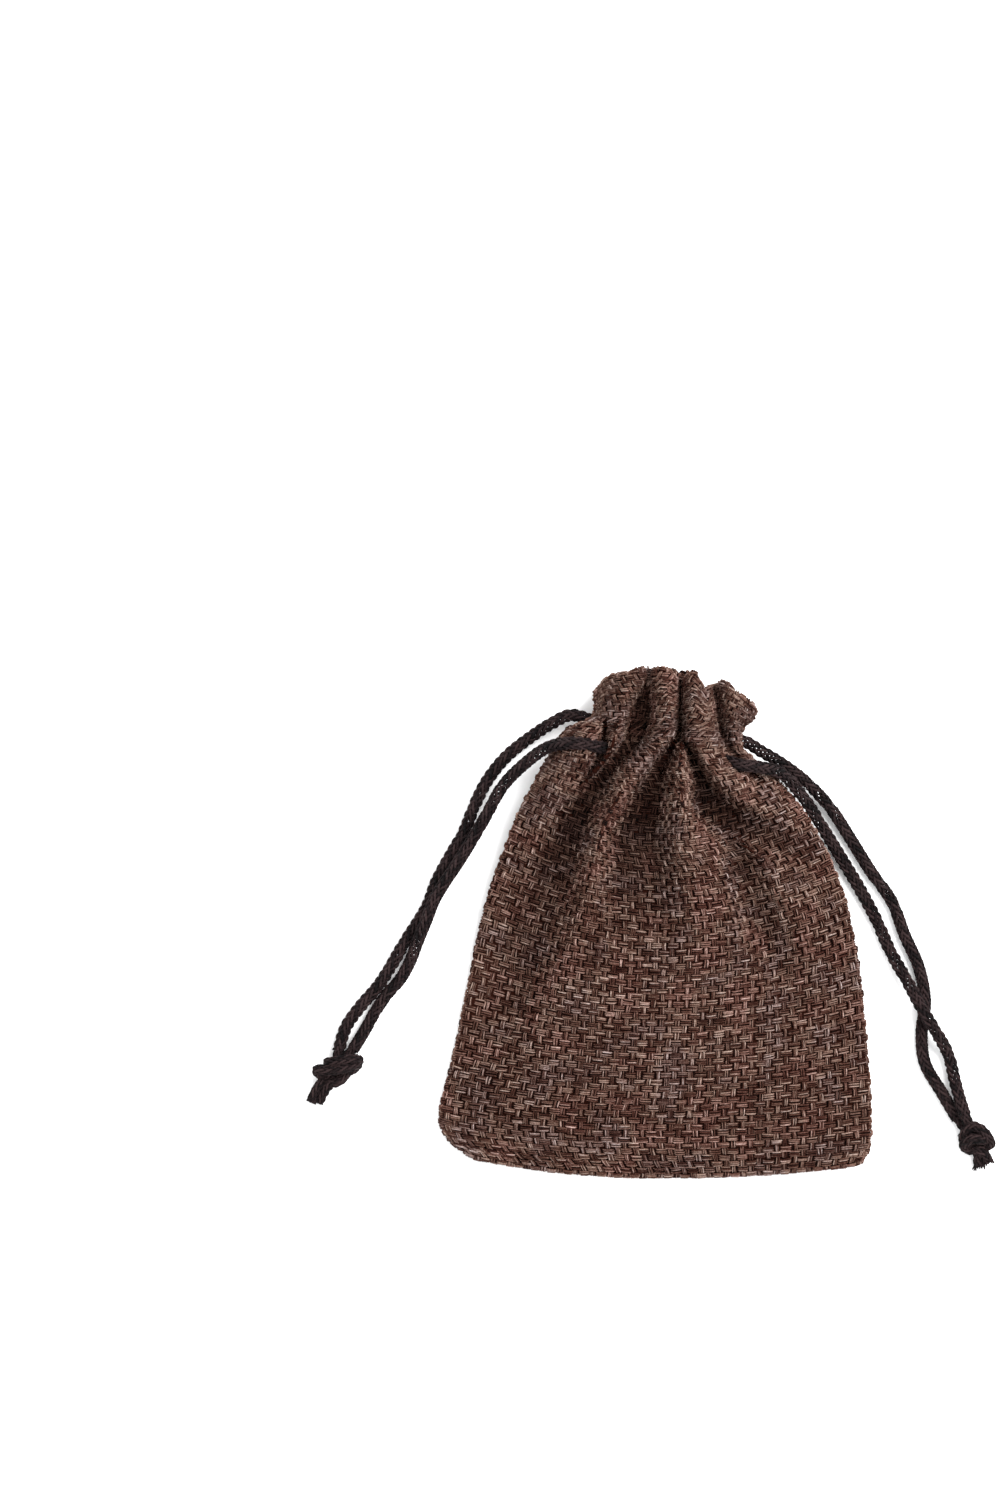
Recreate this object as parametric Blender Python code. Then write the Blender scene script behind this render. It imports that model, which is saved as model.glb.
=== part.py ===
"""A small drawstring sack of burlap, drawn shut and lying on its back.

The sack is one piece of cloth: folded at the bottom edge, sewn up both sides, its top
turned in to make a casing and a frill. Two drawcords run round the casing, one tied at
each side, so that pulling both knots shuts the mouth.

Tables and sizes are in millimetres. X runs across the sack, UP runs from its bottom edge
to its frill and becomes +Y, and Z is the height above the surface that it lies on.
"""
import math
from collections import namedtuple

import bmesh
import bpy
import numpy as np
from mathutils import Matrix, Vector

MM = 0.001

# Driving dimensions.
CLOTH_WALL = 1.5          # one layer of burlap
FRILL_WALL = 2.6          # two layers above the casing
CORD = 3.0                # diameter of a drawcord
CHANNEL = 4.0             # diameter of the way that each drawcord has in the casing
TUBE_SMOOTHNESS = 2       # bevel resolution of both
ORIGIN_UP = 59.16         # the middle of the sack's length is the origin

# The casing, where both drawcords run round the neck.
CASING_RUN = 99.8         # cloth run at the middle of the casing
CASING_UP = 100.3         # and how far up the sack that lies
CASING_HALF = 5.2         # half its height
CASING_BLEND = 3.3        # the cloth inside steps down to the neck over this height
NECK_Z = 10.3             # height of the neck's middle line
NECK_HALF = 2.95          # half the height of the way through the neck
NECK_LEFT = -12.2
NECK_RIGHT = 11.2
RING_MIDDLE = -0.5        # the drawcords' rings: two straights joined by half circles
RING_STRAIGHT = 9.0
RING_RADIUS = 6.0
RING_APART = 3.8          # from one drawcord's ring to the other's
LEFT_RING_START = 0.36    # as parts of a lap from the neck's right end over its front
RIGHT_RING_START = 0.14
RING_SWEEP = 0.72         # the part of a lap that a drawcord makes in the casing
PULL_START = 4.2          # the drawn cords flatten the folds to this far from their middle
PULL_REACH = 6.0          # and let them go over this length
PULL_DEPTH = 2.0          # the deepest fold over the cords

# How the cloth is divided: points across one face, and cross-sections along the sack.
ACROSS = 40
OUTER_RUNS = (0, 2, 5, 10, 17, 25, 33, 41, 48, 55, 61, 66, 70.5, 75, 79, 83, 87,
              91.2, 94.8, 97.4, 100, 102.6, 105.2, 108, 111, 114, 116.6)
INNER_RUNS = OUTER_RUNS[2:]
FINE = 481                # samples across a face, before the points are spaced evenly
SIDE_BOW = 2.2            # how suddenly a section bends up towards its seams
BACK_FLAT = 1.3           # above 1, the back is flat between its edges
DRAW_IN_WALLS = 2         # the inside stops this many walls short of the seams
DRAW_POWER = 3            # and is drawn in close to its edges
MIN_HOLLOW = 0.30         # half the least height of the hollow inside
NECK_SQUARE = 4           # how square the way through the neck is: 2 is an oval
EDGE_SQUARE = 8           # and the least hollow

# A cross-section: cloth run from the bottom edge, where its middle lies, its two seams,
# how much farther up the seams lie, its full height, the seams' heights, and its fullness
# at the edges (0.5 is round, 1 is a sharp wedge).
Section = namedtuple("Section", "run up left right bow_left bow_right thick seam_left seam_right edge")
SECTIONS = (
    Section(0.0, 1.6, -43.8, 47.8, 4.6, 2.8, 3.0, 1.5, 1.5, 0.15),
    Section(3.0, 4.6, -47.4, 49.0, 4.4, 2.8, 4.4, 1.8, 1.8, 0.35),
    Section(8.0, 9.4, -49.1, 49.1, 4.2, 3.0, 6.0, 2.2, 2.2, 0.55),
    Section(22.0, 23.4, -46.0, 48.2, 4.4, 3.4, 8.8, 3.0, 3.0, 0.65),
    Section(38.0, 39.4, -42.4, 46.8, 5.0, 4.0, 11.4, 3.8, 3.8, 0.70),
    Section(52.0, 53.2, -39.8, 44.6, 5.6, 4.6, 13.6, 4.8, 4.8, 0.70),
    Section(64.0, 65.0, -35.6, 40.8, 6.4, 5.2, 15.8, 6.0, 6.0, 0.68),
    Section(74.0, 74.8, -32.0, 35.8, 7.0, 5.6, 18.0, 7.4, 7.4, 0.64),
    Section(82.0, 82.8, -28.0, 30.4, 6.6, 5.2, 20.0, 8.8, 8.8, 0.60),
    Section(89.0, 89.8, -24.6, 25.8, 5.4, 3.8, 21.6, 10.0, 10.0, 0.55),
    Section(94.0, 94.8, -22.2, 21.6, 4.0, 2.4, 22.4, 10.8, 10.8, 0.50),
    Section(98.0, 98.6, -20.4, 19.2, 2.8, 1.2, 22.6, 11.0, 11.0, 0.50),
    Section(102.0, 102.4, -18.0, 18.8, 1.6, 0.0, 22.4, 11.0, 11.0, 0.50),
    Section(106.0, 106.2, -14.2, 19.8, 0.6, -1.8, 22.4, 10.0, 12.5, 0.50),
    Section(111.0, 111.0, -13.8, 21.4, -0.4, -5.4, 23.0, 9.0, 15.0, 0.50),
    Section(116.6, 116.8, -14.2, 22.3, -2.2, -9.2, 23.6, 8.4, 17.5, 0.50),
)

# Folds: a line of (x, up) with its half width and depth, from the frill downwards.
FoldRow = namedtuple("FoldRow", "x up half depth")
FRONT_FOLDS = {
    "left valley": (
        FoldRow(-2.0, 117.0, 3.0, 1.6), FoldRow(-3.8, 104.5, 3.0, 6.0),
        FoldRow(-9.0, 97.5, 3.2, 6.0), FoldRow(-17.2, 86.0, 4.2, 5.0),
        FoldRow(-24.0, 73.5, 5.5, 3.0), FoldRow(-29.0, 58.0, 9.0, 0.0)),
    "middle valley": (
        FoldRow(5.2, 117.0, 3.0, 5.0), FoldRow(4.8, 104.0, 3.0, 7.5),
        FoldRow(1.4, 96.5, 3.4, 8.5), FoldRow(-3.2, 81.0, 6.5, 6.5),
        FoldRow(-1.6, 64.0, 9.0, 0.0)),
    "right valley": (
        FoldRow(8.4, 108.0, 2.4, 0.0), FoldRow(8.8, 98.5, 2.6, 5.0),
        FoldRow(10.8, 89.0, 3.4, 5.5), FoldRow(17.4, 82.0, 4.0, 4.2),
        FoldRow(32.0, 77.0, 5.0, 0.0)),
    "right branch": (
        FoldRow(17.6, 81.0, 3.5, 1.8), FoldRow(21.8, 68.0, 5.0, 1.6),
        FoldRow(27.5, 52.0, 6.0, 0.0)),
    "frill side valley": (
        FoldRow(11.6, 117.0, 3.0, 4.5), FoldRow(15.4, 106.5, 2.8, 5.5),
        FoldRow(16.2, 100.0, 2.6, 5.0), FoldRow(22.5, 91.0, 3.5, 0.0)),
    "left slot valley": (
        FoldRow(-13.6, 106.0, 2.4, 0.0), FoldRow(-14.4, 101.0, 2.6, 4.0),
        FoldRow(-19.0, 92.0, 3.5, 0.0)),
}
FRONT_RIDGES = {
    "left crest": (
        FoldRow(-6.0, 97.0, 3.0, 0.6), FoldRow(-12.6, 85.7, 4.5, 1.6),
        FoldRow(-17.4, 75.5, 6.0, 1.5), FoldRow(-20.5, 60.0, 8.0, 0.0)),
    "middle crest": (
        FoldRow(5.2, 98.0, 2.4, 0.4), FoldRow(6.6, 86.0, 4.0, 1.4),
        FoldRow(10.4, 73.0, 7.0, 1.2), FoldRow(12.0, 60.0, 9.0, 0.0)),
    "right crest": (
        FoldRow(13.0, 96.0, 3.0, 0.4), FoldRow(18.6, 90.4, 4.0, 1.2),
        FoldRow(27.0, 85.5, 4.5, 0.0)),
}
BACK_FOLDS = {
    "left": (
        FoldRow(-7.0, 117.0, 3.4, 3.6), FoldRow(-6.4, 103.0, 3.2, 3.8),
        FoldRow(-10.5, 90.0, 4.5, 3.6), FoldRow(-18.0, 74.0, 6.5, 0.0)),
    "middle": (
        FoldRow(2.4, 117.0, 3.4, 3.8), FoldRow(1.4, 103.0, 3.2, 4.0),
        FoldRow(0.6, 88.0, 5.0, 3.6), FoldRow(1.2, 70.0, 8.0, 0.0)),
    "right": (
        FoldRow(12.0, 117.0, 3.4, 3.6), FoldRow(9.6, 103.0, 3.2, 3.8),
        FoldRow(13.6, 90.0, 4.5, 3.4), FoldRow(20.0, 76.0, 6.5, 0.0)),
}
FOLD_STEPS = 8            # points between two rows of a fold's line
FOLD_SOFTNESS = 0.6       # 0 is a crease and 1 is a trough with a round bottom
FOLD_REST = 0.85          # the part of the way to the sack's middle that a fold may take

# The notches between the frill's lobes: where, half width and depth.
Notch = namedtuple("Notch", "x half depth")
NOTCHES = (Notch(5.3, 2.2, 1.6), Notch(11.6, 2.6, 2.4))

# A drawcord leaves the casing as two strands, one from its front and one from its back.
# Each route runs from the casing to the knot.
RoutePoint = namedtuple("RoutePoint", "x up z")
LEFT_FRONT = (
    RoutePoint(-13.4, 101.6, 19.4), RoutePoint(-18.4, 101.4, 18.2), RoutePoint(-24.0, 99.8, 14.6),
    RoutePoint(-30.4, 95.6, 9.4), RoutePoint(-34.8, 90.4, 6.2), RoutePoint(-38.0, 84.0, 5.2),
    RoutePoint(-41.2, 78.4, 5.0), RoutePoint(-44.6, 72.6, 5.0), RoutePoint(-48.4, 68.0, 4.9),
    RoutePoint(-51.0, 64.4, 5.0), RoutePoint(-52.8, 59.8, 4.8), RoutePoint(-55.0, 54.4, 3.6),
    RoutePoint(-56.6, 50.2, 2.0), RoutePoint(-59.4, 45.8, 1.6), RoutePoint(-62.9, 39.4, 1.6),
    RoutePoint(-66.8, 34.0, 1.9), RoutePoint(-69.8, 29.8, 2.9))
LEFT_BACK = (
    RoutePoint(-14.6, 105.6, 6.0), RoutePoint(-19.8, 106.9, 5.0), RoutePoint(-24.0, 105.0, 3.8),
    RoutePoint(-29.2, 101.6, 2.4), RoutePoint(-34.4, 97.4, 1.6), RoutePoint(-39.0, 91.6, 1.6),
    RoutePoint(-42.4, 86.0, 1.6), RoutePoint(-45.4, 80.2, 1.6), RoutePoint(-49.0, 74.2, 1.6),
    RoutePoint(-51.2, 68.6, 1.6), RoutePoint(-53.2, 62.6, 1.6), RoutePoint(-55.8, 58.6, 1.6),
    RoutePoint(-58.8, 54.0, 1.6), RoutePoint(-61.2, 49.6, 1.6), RoutePoint(-64.2, 44.6, 1.6),
    RoutePoint(-68.2, 39.6, 1.6), RoutePoint(-71.4, 35.0, 1.6), RoutePoint(-73.2, 29.4, 2.2))
RIGHT_FRONT = (
    RoutePoint(12.6, 97.4, 19.2), RoutePoint(17.8, 95.6, 19.2), RoutePoint(23.4, 95.0, 15.8),
    RoutePoint(28.0, 93.8, 12.0), RoutePoint(33.6, 88.2, 7.8), RoutePoint(38.0, 81.6, 4.6),
    RoutePoint(42.4, 74.6, 2.4), RoutePoint(46.8, 67.4, 1.6), RoutePoint(50.8, 60.0, 1.6),
    RoutePoint(54.2, 52.4, 1.8), RoutePoint(58.2, 45.2, 3.6), RoutePoint(61.8, 38.4, 5.0),
    RoutePoint(65.0, 33.2, 4.2), RoutePoint(67.6, 28.4, 2.2), RoutePoint(69.0, 22.8, 2.0),
    RoutePoint(70.2, 18.0, 3.8), RoutePoint(71.2, 14.8, 4.8))
RIGHT_BACK = (
    RoutePoint(15.4, 99.6, 6.0), RoutePoint(19.6, 101.0, 6.2), RoutePoint(24.2, 98.6, 6.6),
    RoutePoint(28.9, 95.8, 6.4), RoutePoint(35.2, 91.0, 4.4), RoutePoint(40.4, 85.4, 2.4),
    RoutePoint(45.0, 78.4, 1.6), RoutePoint(49.6, 71.0, 1.6), RoutePoint(54.6, 63.8, 1.6),
    RoutePoint(57.4, 56.4, 1.6), RoutePoint(60.8, 48.6, 1.6), RoutePoint(62.2, 40.4, 1.6),
    RoutePoint(61.4, 34.0, 1.6), RoutePoint(62.0, 27.2, 1.6), RoutePoint(66.2, 19.6, 1.6),
    RoutePoint(69.6, 13.8, 1.6))
FREE_STEP = 6.0           # a point every two diameters where a cord lies free
RING_STEP = 3.2           # and closer round the neck
EXIT_REACH = 18.0         # how far a channel follows its cord out of the casing

# An overhand knot that ties both strands: a wrap lying across them, a lump under it, and
# two cut tails side by side. Sizes are half lengths across, up and in height.
Lump = namedtuple("Lump", "x up z across tall high turn")
Tail = namedtuple("Tail", "from_x from_up to_x to_up")
LEFT_KNOT = (
    Lump(-73.0, 26.1, 3.2, 4.8, 2.5, 3.2, 17.0),
    Lump(-73.3, 23.7, 2.7, 3.3, 2.3, 2.7, 10.0))
LEFT_TAILS = (Tail(-74.6, 23.4, -79.3, 17.9), Tail(-73.2, 22.8, -77.3, 17.0))
RIGHT_KNOT = (
    Lump(73.0, 10.8, 3.3, 3.9, 2.9, 3.3, -25.0),
    Lump(74.2, 8.6, 2.8, 4.1, 2.3, 2.8, 8.0))
RIGHT_TAILS = (Tail(74.2, 8.0, 74.5, 1.6), Tail(75.6, 8.0, 77.2, 3.2))
KNOT_SEGMENTS = 14
KNOT_RINGS = 8
TAIL_SIDES = 8

# Colours, as linear values.
BURLAP_COLOUR = (0.105, 0.062, 0.045)
BURLAP_ROUGHNESS = 0.9
CORD_COLOUR = (0.018, 0.010, 0.009)
CORD_ROUGHNESS = 0.7


def curve_through(knots, values, at):
    """Read a smooth curve through the values at the knots, with no overshoot between them."""
    knots = np.asarray(knots, dtype=float)
    values = np.asarray(values, dtype=float)
    slopes = np.diff(values) / np.diff(knots)
    product = slopes[:-1] * slopes[1:]
    total = np.where(product > 0, slopes[:-1] + slopes[1:], 1.0)
    tangents = np.concatenate(([slopes[0]], np.where(product > 0, 2 * product / total, 0.0), [slopes[-1]]))
    low = np.clip(np.searchsorted(knots, at, side="right") - 1, 0, len(knots) - 2)
    span = knots[low + 1] - knots[low]
    t = np.clip((at - knots[low]) / span, 0.0, 1.0)
    return (values[low] * (1 + 2 * t) * (1 - t) ** 2 + tangents[low] * span * t * (1 - t) ** 2
            + values[low + 1] * t * t * (3 - 2 * t) - tangents[low + 1] * span * t * t * (1 - t))


def column(rows, name):
    return [getattr(row, name) for row in rows]


def section_at(run):
    """The cross-section at a cloth run between the rows of the table."""
    runs = column(SECTIONS, "run")
    return Section(*(float(curve_through(runs, column(SECTIONS, name), run)) for name in Section._fields))


def smooth_step(low, high, value):
    t = np.clip((value - low) / (high - low), 0.0, 1.0)
    return t * t * (3 - 2 * t)


def fold_field(folds, x, up, widen=0.0):
    """How deep the folds are at each place: the deepest one counts."""
    field = np.zeros_like(x)
    for rows in folds.values():
        index = np.arange(len(rows))
        fine = np.linspace(0, len(rows) - 1, (len(rows) - 1) * FOLD_STEPS + 1)
        line_x, line_up, half, depth = (
            curve_through(index, column(rows, name), fine) for name in FoldRow._fields)
        nearest = np.full_like(x, np.inf)
        here = np.zeros_like(x)
        width = np.ones_like(x)
        for k in range(len(fine) - 1):
            dx, dup = line_x[k + 1] - line_x[k], line_up[k + 1] - line_up[k]
            t = np.clip(((x - line_x[k]) * dx + (up - line_up[k]) * dup) / (dx * dx + dup * dup), 0, 1)
            away = np.hypot(x - line_x[k] - t * dx, up - line_up[k] - t * dup)
            closer = away < nearest
            nearest = np.where(closer, away, nearest)
            here = np.where(closer, depth[k] + t * (depth[k + 1] - depth[k]), here)
            width = np.where(closer, half[k] + t * (half[k + 1] - half[k]), width)
        r = np.clip(nearest / (width + widen), 0, 1)
        field = np.maximum(field, here * (1 - r) ** 2 * (1 + 2 * FOLD_SOFTNESS * r))
    return field


def pulled_limit(up, limit):
    """Folds stay shallow over the drawn cords, however deep they are on both sides."""
    near = 1 - smooth_step(PULL_START, PULL_START + PULL_REACH, np.abs(up - CASING_UP))
    return limit + near * (np.minimum(limit, PULL_DEPTH) - limit)


def soft_limit(value, limit):
    limit = np.maximum(limit, 1e-6)
    return limit * np.tanh(value / limit)


def place_across(section, q, draw_in=0.0):
    """X and UP of a place across a section, q from -1 at the left seam to 1 at the right.

    A face inside the cloth is drawn in at its edges and lies under the outer face elsewhere.
    """
    middle = (section.left + section.right) / 2
    half = (section.right - section.left) / 2
    x = middle + half * q - draw_in * np.sign(q) * np.abs(q) ** DRAW_POWER
    return x, up_across(section, q, x)


def up_across(section, q, x):
    bow = np.where(q < 0, section.bow_left, section.bow_right) * np.abs(q) ** SIDE_BOW
    frill = smooth_step(CASING_RUN + CASING_HALF, SECTIONS[-1].run, section.run)
    cut = sum(notch.depth * np.exp(-((x - notch.x) / notch.half) ** 2) for notch in NOTCHES)
    return section.up + bow - frill * cut


def heights(section, q, x, up, wall):
    """Front and back height of the cloth's outer face, or of a face that far inside it."""
    round_edge = np.clip(1 - q * q, 0, 1) ** section.edge
    seam = section.seam_left + (section.seam_right - section.seam_left) * (1 + q) / 2
    front_base = seam + (section.thick - wall - seam) * round_edge
    back_base = seam - (seam - wall) * np.minimum(1, BACK_FLAT * round_edge)
    front_limit = pulled_limit(up, FOLD_REST * (front_base - seam))
    back_limit = pulled_limit(up, FOLD_REST * (seam - back_base))
    front = front_base - soft_limit(fold_field(FRONT_FOLDS, x, up, wall), front_limit)
    back = back_base + soft_limit(fold_field(BACK_FOLDS, x, up, wall), back_limit)
    return front + fold_field(FRONT_RIDGES, x, up) * round_edge, back, seam


def outer_loop(run):
    """One closed loop round the outside of the sack, its points evenly spaced along the cloth."""
    section = section_at(run)
    fine_q = -np.cos(np.linspace(0, math.pi, FINE))
    x, up = place_across(section, fine_q)
    front, back, _ = heights(section, fine_q, x, up, 0.0)
    loop = []
    for z, order in ((front, 1), (back, -1)):
        steps = np.sqrt(np.diff(x) ** 2 + np.diff(up) ** 2 + np.diff(z) ** 2)
        along = np.concatenate(([0], np.cumsum(steps)))
        even_q = np.interp(np.linspace(0, along[-1], ACROSS + 1), along, fine_q)[::order][:-1]
        even_x, even_up = place_across(section, even_q)
        even_z = np.interp(even_q, fine_q, z)
        loop += list(zip(even_q, even_x, even_up, even_z))
    return loop


def inner_loop(run, outer):
    """The loop inside the cloth that faces an outer loop, point for point."""
    section = section_at(run)
    above = smooth_step(CASING_RUN, CASING_RUN + CASING_HALF, run)
    wall = CLOTH_WALL + above * (FRILL_WALL - CLOTH_WALL)
    casing = 1 - smooth_step(CASING_HALF, CASING_HALF + CASING_BLEND, abs(run - CASING_RUN))
    q = np.array([point[0] for point in outer])
    x, _ = place_across(section, q, DRAW_IN_WALLS * wall)
    neck_x = (NECK_LEFT + NECK_RIGHT + (NECK_RIGHT - NECK_LEFT) * q) / 2
    x = x + casing * (neck_x - x)
    up = up_across(section, q, x)
    front, back, seam = heights(section, q, x, up, wall)
    neck = NECK_HALF * np.sqrt(np.clip(1 - q ** NECK_SQUARE, 0, 1))
    edge = MIN_HOLLOW * np.sqrt(np.clip(1 - q ** EDGE_SQUARE, 0, 1))
    front = np.maximum(front + casing * (NECK_Z + neck - front), seam + edge)
    back = np.minimum(back + casing * (NECK_Z - neck - back), seam - edge)
    z = np.where(np.arange(len(q)) < ACROSS, front, back)
    return list(zip(x, up, z))


def sack_cloth(finish):
    """The sack as one closed solid: outside, rim, inside, and the fold along the bottom."""
    outer = [outer_loop(run) for run in OUTER_RUNS]
    inner = [inner_loop(run, outer[OUTER_RUNS.index(run)]) for run in INNER_RUNS]
    bm = bmesh.new()
    rings = [[bm.verts.new(at(x, up, z)) for _, x, up, z in loop] for loop in outer]
    rings += [[bm.verts.new(at(x, up, z)) for x, up, z in loop] for loop in reversed(inner)]
    count = 2 * ACROSS
    for low, high in zip(rings, rings[1:]):
        for k in range(count):
            following = (k + 1) % count
            bm.faces.new((low[k], high[k], high[following], low[following]))
    for ring, flip in ((rings[0], False), (rings[-1], True)):
        for k in range(ACROSS):
            quad = (ring[k], ring[k + 1], ring[(count - k - 1) % count], ring[(count - k) % count])
            corners = list(dict.fromkeys(quad))
            bm.faces.new(corners[::-1] if flip else corners)
    bmesh.ops.recalc_face_normals(bm, faces=bm.faces)
    mesh = smooth_mesh(bm, "sack_cloth")
    bm.free()
    return add_object("sack_cloth", mesh, finish)


def at(x, up, z):
    """A place in the tables' millimetres as a place in metres about the origin."""
    return (x * MM, (up - ORIGIN_UP) * MM, z * MM)


def material(name, colour, roughness):
    made = bpy.data.materials.new(name)
    made.use_nodes = True
    shader = made.node_tree.nodes["Principled BSDF"]
    shader.inputs["Base Color"].default_value = (*colour, 1.0)
    shader.inputs["Roughness"].default_value = roughness
    shader.inputs["Metallic"].default_value = 0.0
    made.diffuse_color = (*colour, 1.0)
    return made


def smooth_mesh(bm, name):
    for face in bm.faces:
        face.smooth = True
    mesh = bpy.data.meshes.new(name)
    bm.to_mesh(mesh)
    return mesh


def add_object(name, data, finish):
    made = bpy.data.objects.new(name, data)
    made.data.materials.append(finish)
    bpy.context.scene.collection.objects.link(made)
    return made


def ring_points(up_offset, start, sweep):
    """Points round the neck, from one angle through a sweep, in degrees, seen from the mouth."""
    quarter = math.pi * RING_RADIUS / 2
    lap = 4 * (RING_STRAIGHT + quarter)

    def ring_place(distance):
        """Start at the right end of the neck and go up over the front to the left."""
        d = distance % lap
        legs = (quarter, 2 * RING_STRAIGHT, 2 * quarter, 2 * RING_STRAIGHT, quarter)
        starts = [sum(legs[:k]) for k in range(len(legs))]
        leg = max(k for k in range(len(legs)) if d >= starts[k])
        rest = d - starts[leg]
        if leg == 1:
            return RING_STRAIGHT - rest, RING_RADIUS
        if leg == 3:
            return rest - RING_STRAIGHT, -RING_RADIUS
        side, from_angle = {0: (1, 0.0), 2: (-1, math.pi / 2), 4: (1, -math.pi / 2)}[leg]
        angle = from_angle + rest / RING_RADIUS
        return side * RING_STRAIGHT + RING_RADIUS * math.cos(angle), RING_RADIUS * math.sin(angle)

    section = section_at(CASING_RUN)
    steps = round(abs(sweep) * lap / RING_STEP)
    points = []
    for k in range(steps + 1):
        x, z = ring_place((start + sweep * k / steps) * lap)
        x += RING_MIDDLE
        q = (2 * x - section.left - section.right) / (section.right - section.left)
        _, up = place_across(section, q)
        points.append((x, float(up) + up_offset, NECK_Z + z))
    return points


def evenly(points, step):
    """Points a step apart on a smooth curve through a hand-made route."""
    route = np.array(points, dtype=float)
    gaps = np.linalg.norm(np.diff(route, axis=0), axis=1)
    knots = np.concatenate(([0], np.cumsum(gaps)))
    count = max(2, round(knots[-1] / step))
    where = np.linspace(0, knots[-1], count + 1)
    return np.stack([catmull(knots, route[:, axis], where) for axis in range(3)], axis=1)


def catmull(knots, values, at_places):
    """A curve that passes through its points with a continuous direction."""
    slopes = np.diff(values) / np.diff(knots)
    spans = np.diff(knots)
    inside = (slopes[:-1] * spans[1:] + slopes[1:] * spans[:-1]) / (spans[:-1] + spans[1:])
    tangents = np.concatenate(([slopes[0]], inside, [slopes[-1]]))
    low = np.clip(np.searchsorted(knots, at_places, side="right") - 1, 0, len(knots) - 2)
    span = spans[low]
    t = (at_places - knots[low]) / span
    return (values[low] * (1 + 2 * t) * (1 - t) ** 2 + tangents[low] * span * t * (1 - t) ** 2
            + values[low + 1] * t * t * (3 - 2 * t) - tangents[low + 1] * span * t * t * (1 - t))


def drawcord_route(front, back, ring):
    """A whole drawcord: one knot's strand, round the neck, and back to the same knot."""
    free_front = evenly(list(front)[::-1] + ring[:2], FREE_STEP)
    free_back = evenly(ring[-2:] + list(back), FREE_STEP)
    lead_in, lead_out = len(free_front) - 1, len(free_back) - 1
    points = np.concatenate((free_front[:-1], np.array(ring[1:-1]), free_back[1:]))
    return points, lead_in, lead_out


def tube(name, points, radius, finish):
    """A round tube along points, as a curve with a bevel and closed ends."""
    curve = bpy.data.curves.new(name, "CURVE")
    curve.dimensions = "3D"
    curve.bevel_depth = radius * MM
    curve.bevel_resolution = TUBE_SMOOTHNESS
    curve.use_fill_caps = True
    spline = curve.splines.new("POLY")
    spline.points.add(len(points) - 1)
    for slot, point in zip(spline.points, points):
        slot.co = (*at(*point), 1.0)
    return add_object(name, curve, finish)


def as_mesh(made):
    """Turn an object's evaluated shape into its own plain mesh."""
    graph = bpy.context.evaluated_depsgraph_get()
    mesh = bpy.data.meshes.new_from_object(made.evaluated_get(graph))
    name, finish = made.name, made.data.materials[0]
    bpy.data.objects.remove(made)
    mesh.materials.clear()
    return add_object(name, mesh, finish)


def cut(made, cutter):
    """Cut a mesh out of another and keep the cutter only as a guide."""
    cutter.hide_render = True
    cutter.display_type = "WIRE"
    boolean = made.modifiers.new(cutter.name, "BOOLEAN")
    boolean.operation = "DIFFERENCE"
    boolean.solver = "EXACT"
    boolean.object = cutter


def drawcord(name, front, back, ring, sack, finish):
    """One drawcord, and the way that it takes through the casing."""
    points, lead_in, lead_out = drawcord_route(front, back, ring)
    tube(name, points, CORD / 2, finish)
    reach = round(EXIT_REACH / FREE_STEP)
    inside = points[lead_in - reach:len(points) - lead_out + reach]
    channel = as_mesh(tube(name + "_channel", inside, CHANNEL / 2, finish))
    cut(sack, channel)


def knot(name, lumps, tails, finish):
    """A knot as one solid: its lumps and its two tails joined."""
    bm = bmesh.new()
    pieces = []
    for lump in lumps:
        made = bmesh.ops.create_uvsphere(
            bm, u_segments=KNOT_SEGMENTS, v_segments=KNOT_RINGS, radius=1.0)
        bmesh.ops.scale(bm, vec=(lump.across * MM, lump.tall * MM, lump.high * MM), verts=made["verts"])
        turn = Matrix.Rotation(math.radians(lump.turn), 3, "Z")
        bmesh.ops.rotate(bm, matrix=turn, verts=made["verts"])
        bmesh.ops.translate(bm, vec=at(lump.x, lump.up, lump.z), verts=made["verts"])
        pieces.append(take_piece(bm, name + "_lump"))
    for tail in tails:
        start = Vector(at(tail.from_x, tail.from_up, CORD / 2))
        end = Vector(at(tail.to_x, tail.to_up, CORD / 2))
        made = bmesh.ops.create_cone(
            bm, cap_ends=True, segments=TAIL_SIDES, radius1=CORD / 2 * MM, radius2=CORD / 2 * MM,
            depth=(end - start).length)
        turn = (end - start).to_track_quat("Z", "Y").to_matrix()
        bmesh.ops.rotate(bm, matrix=turn, verts=made["verts"])
        bmesh.ops.translate(bm, vec=(start + end) / 2, verts=made["verts"])
        pieces.append(take_piece(bm, name + "_tail"))
    bm.free()
    body = add_object(name, pieces[0], finish)
    for k, piece in enumerate(pieces[1:]):
        other = add_object(f"{name}_piece_{k}", piece, finish)
        other.hide_render = True
        other.display_type = "WIRE"
        boolean = body.modifiers.new(other.name, "BOOLEAN")
        boolean.operation = "UNION"
        boolean.solver = "EXACT"
        boolean.object = other
    return body


def take_piece(bm, name):
    """Move what was just made into a mesh of its own."""
    bmesh.ops.triangulate(bm, faces=bm.faces)
    mesh = smooth_mesh(bm, name)
    bm.clear()
    return mesh


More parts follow.
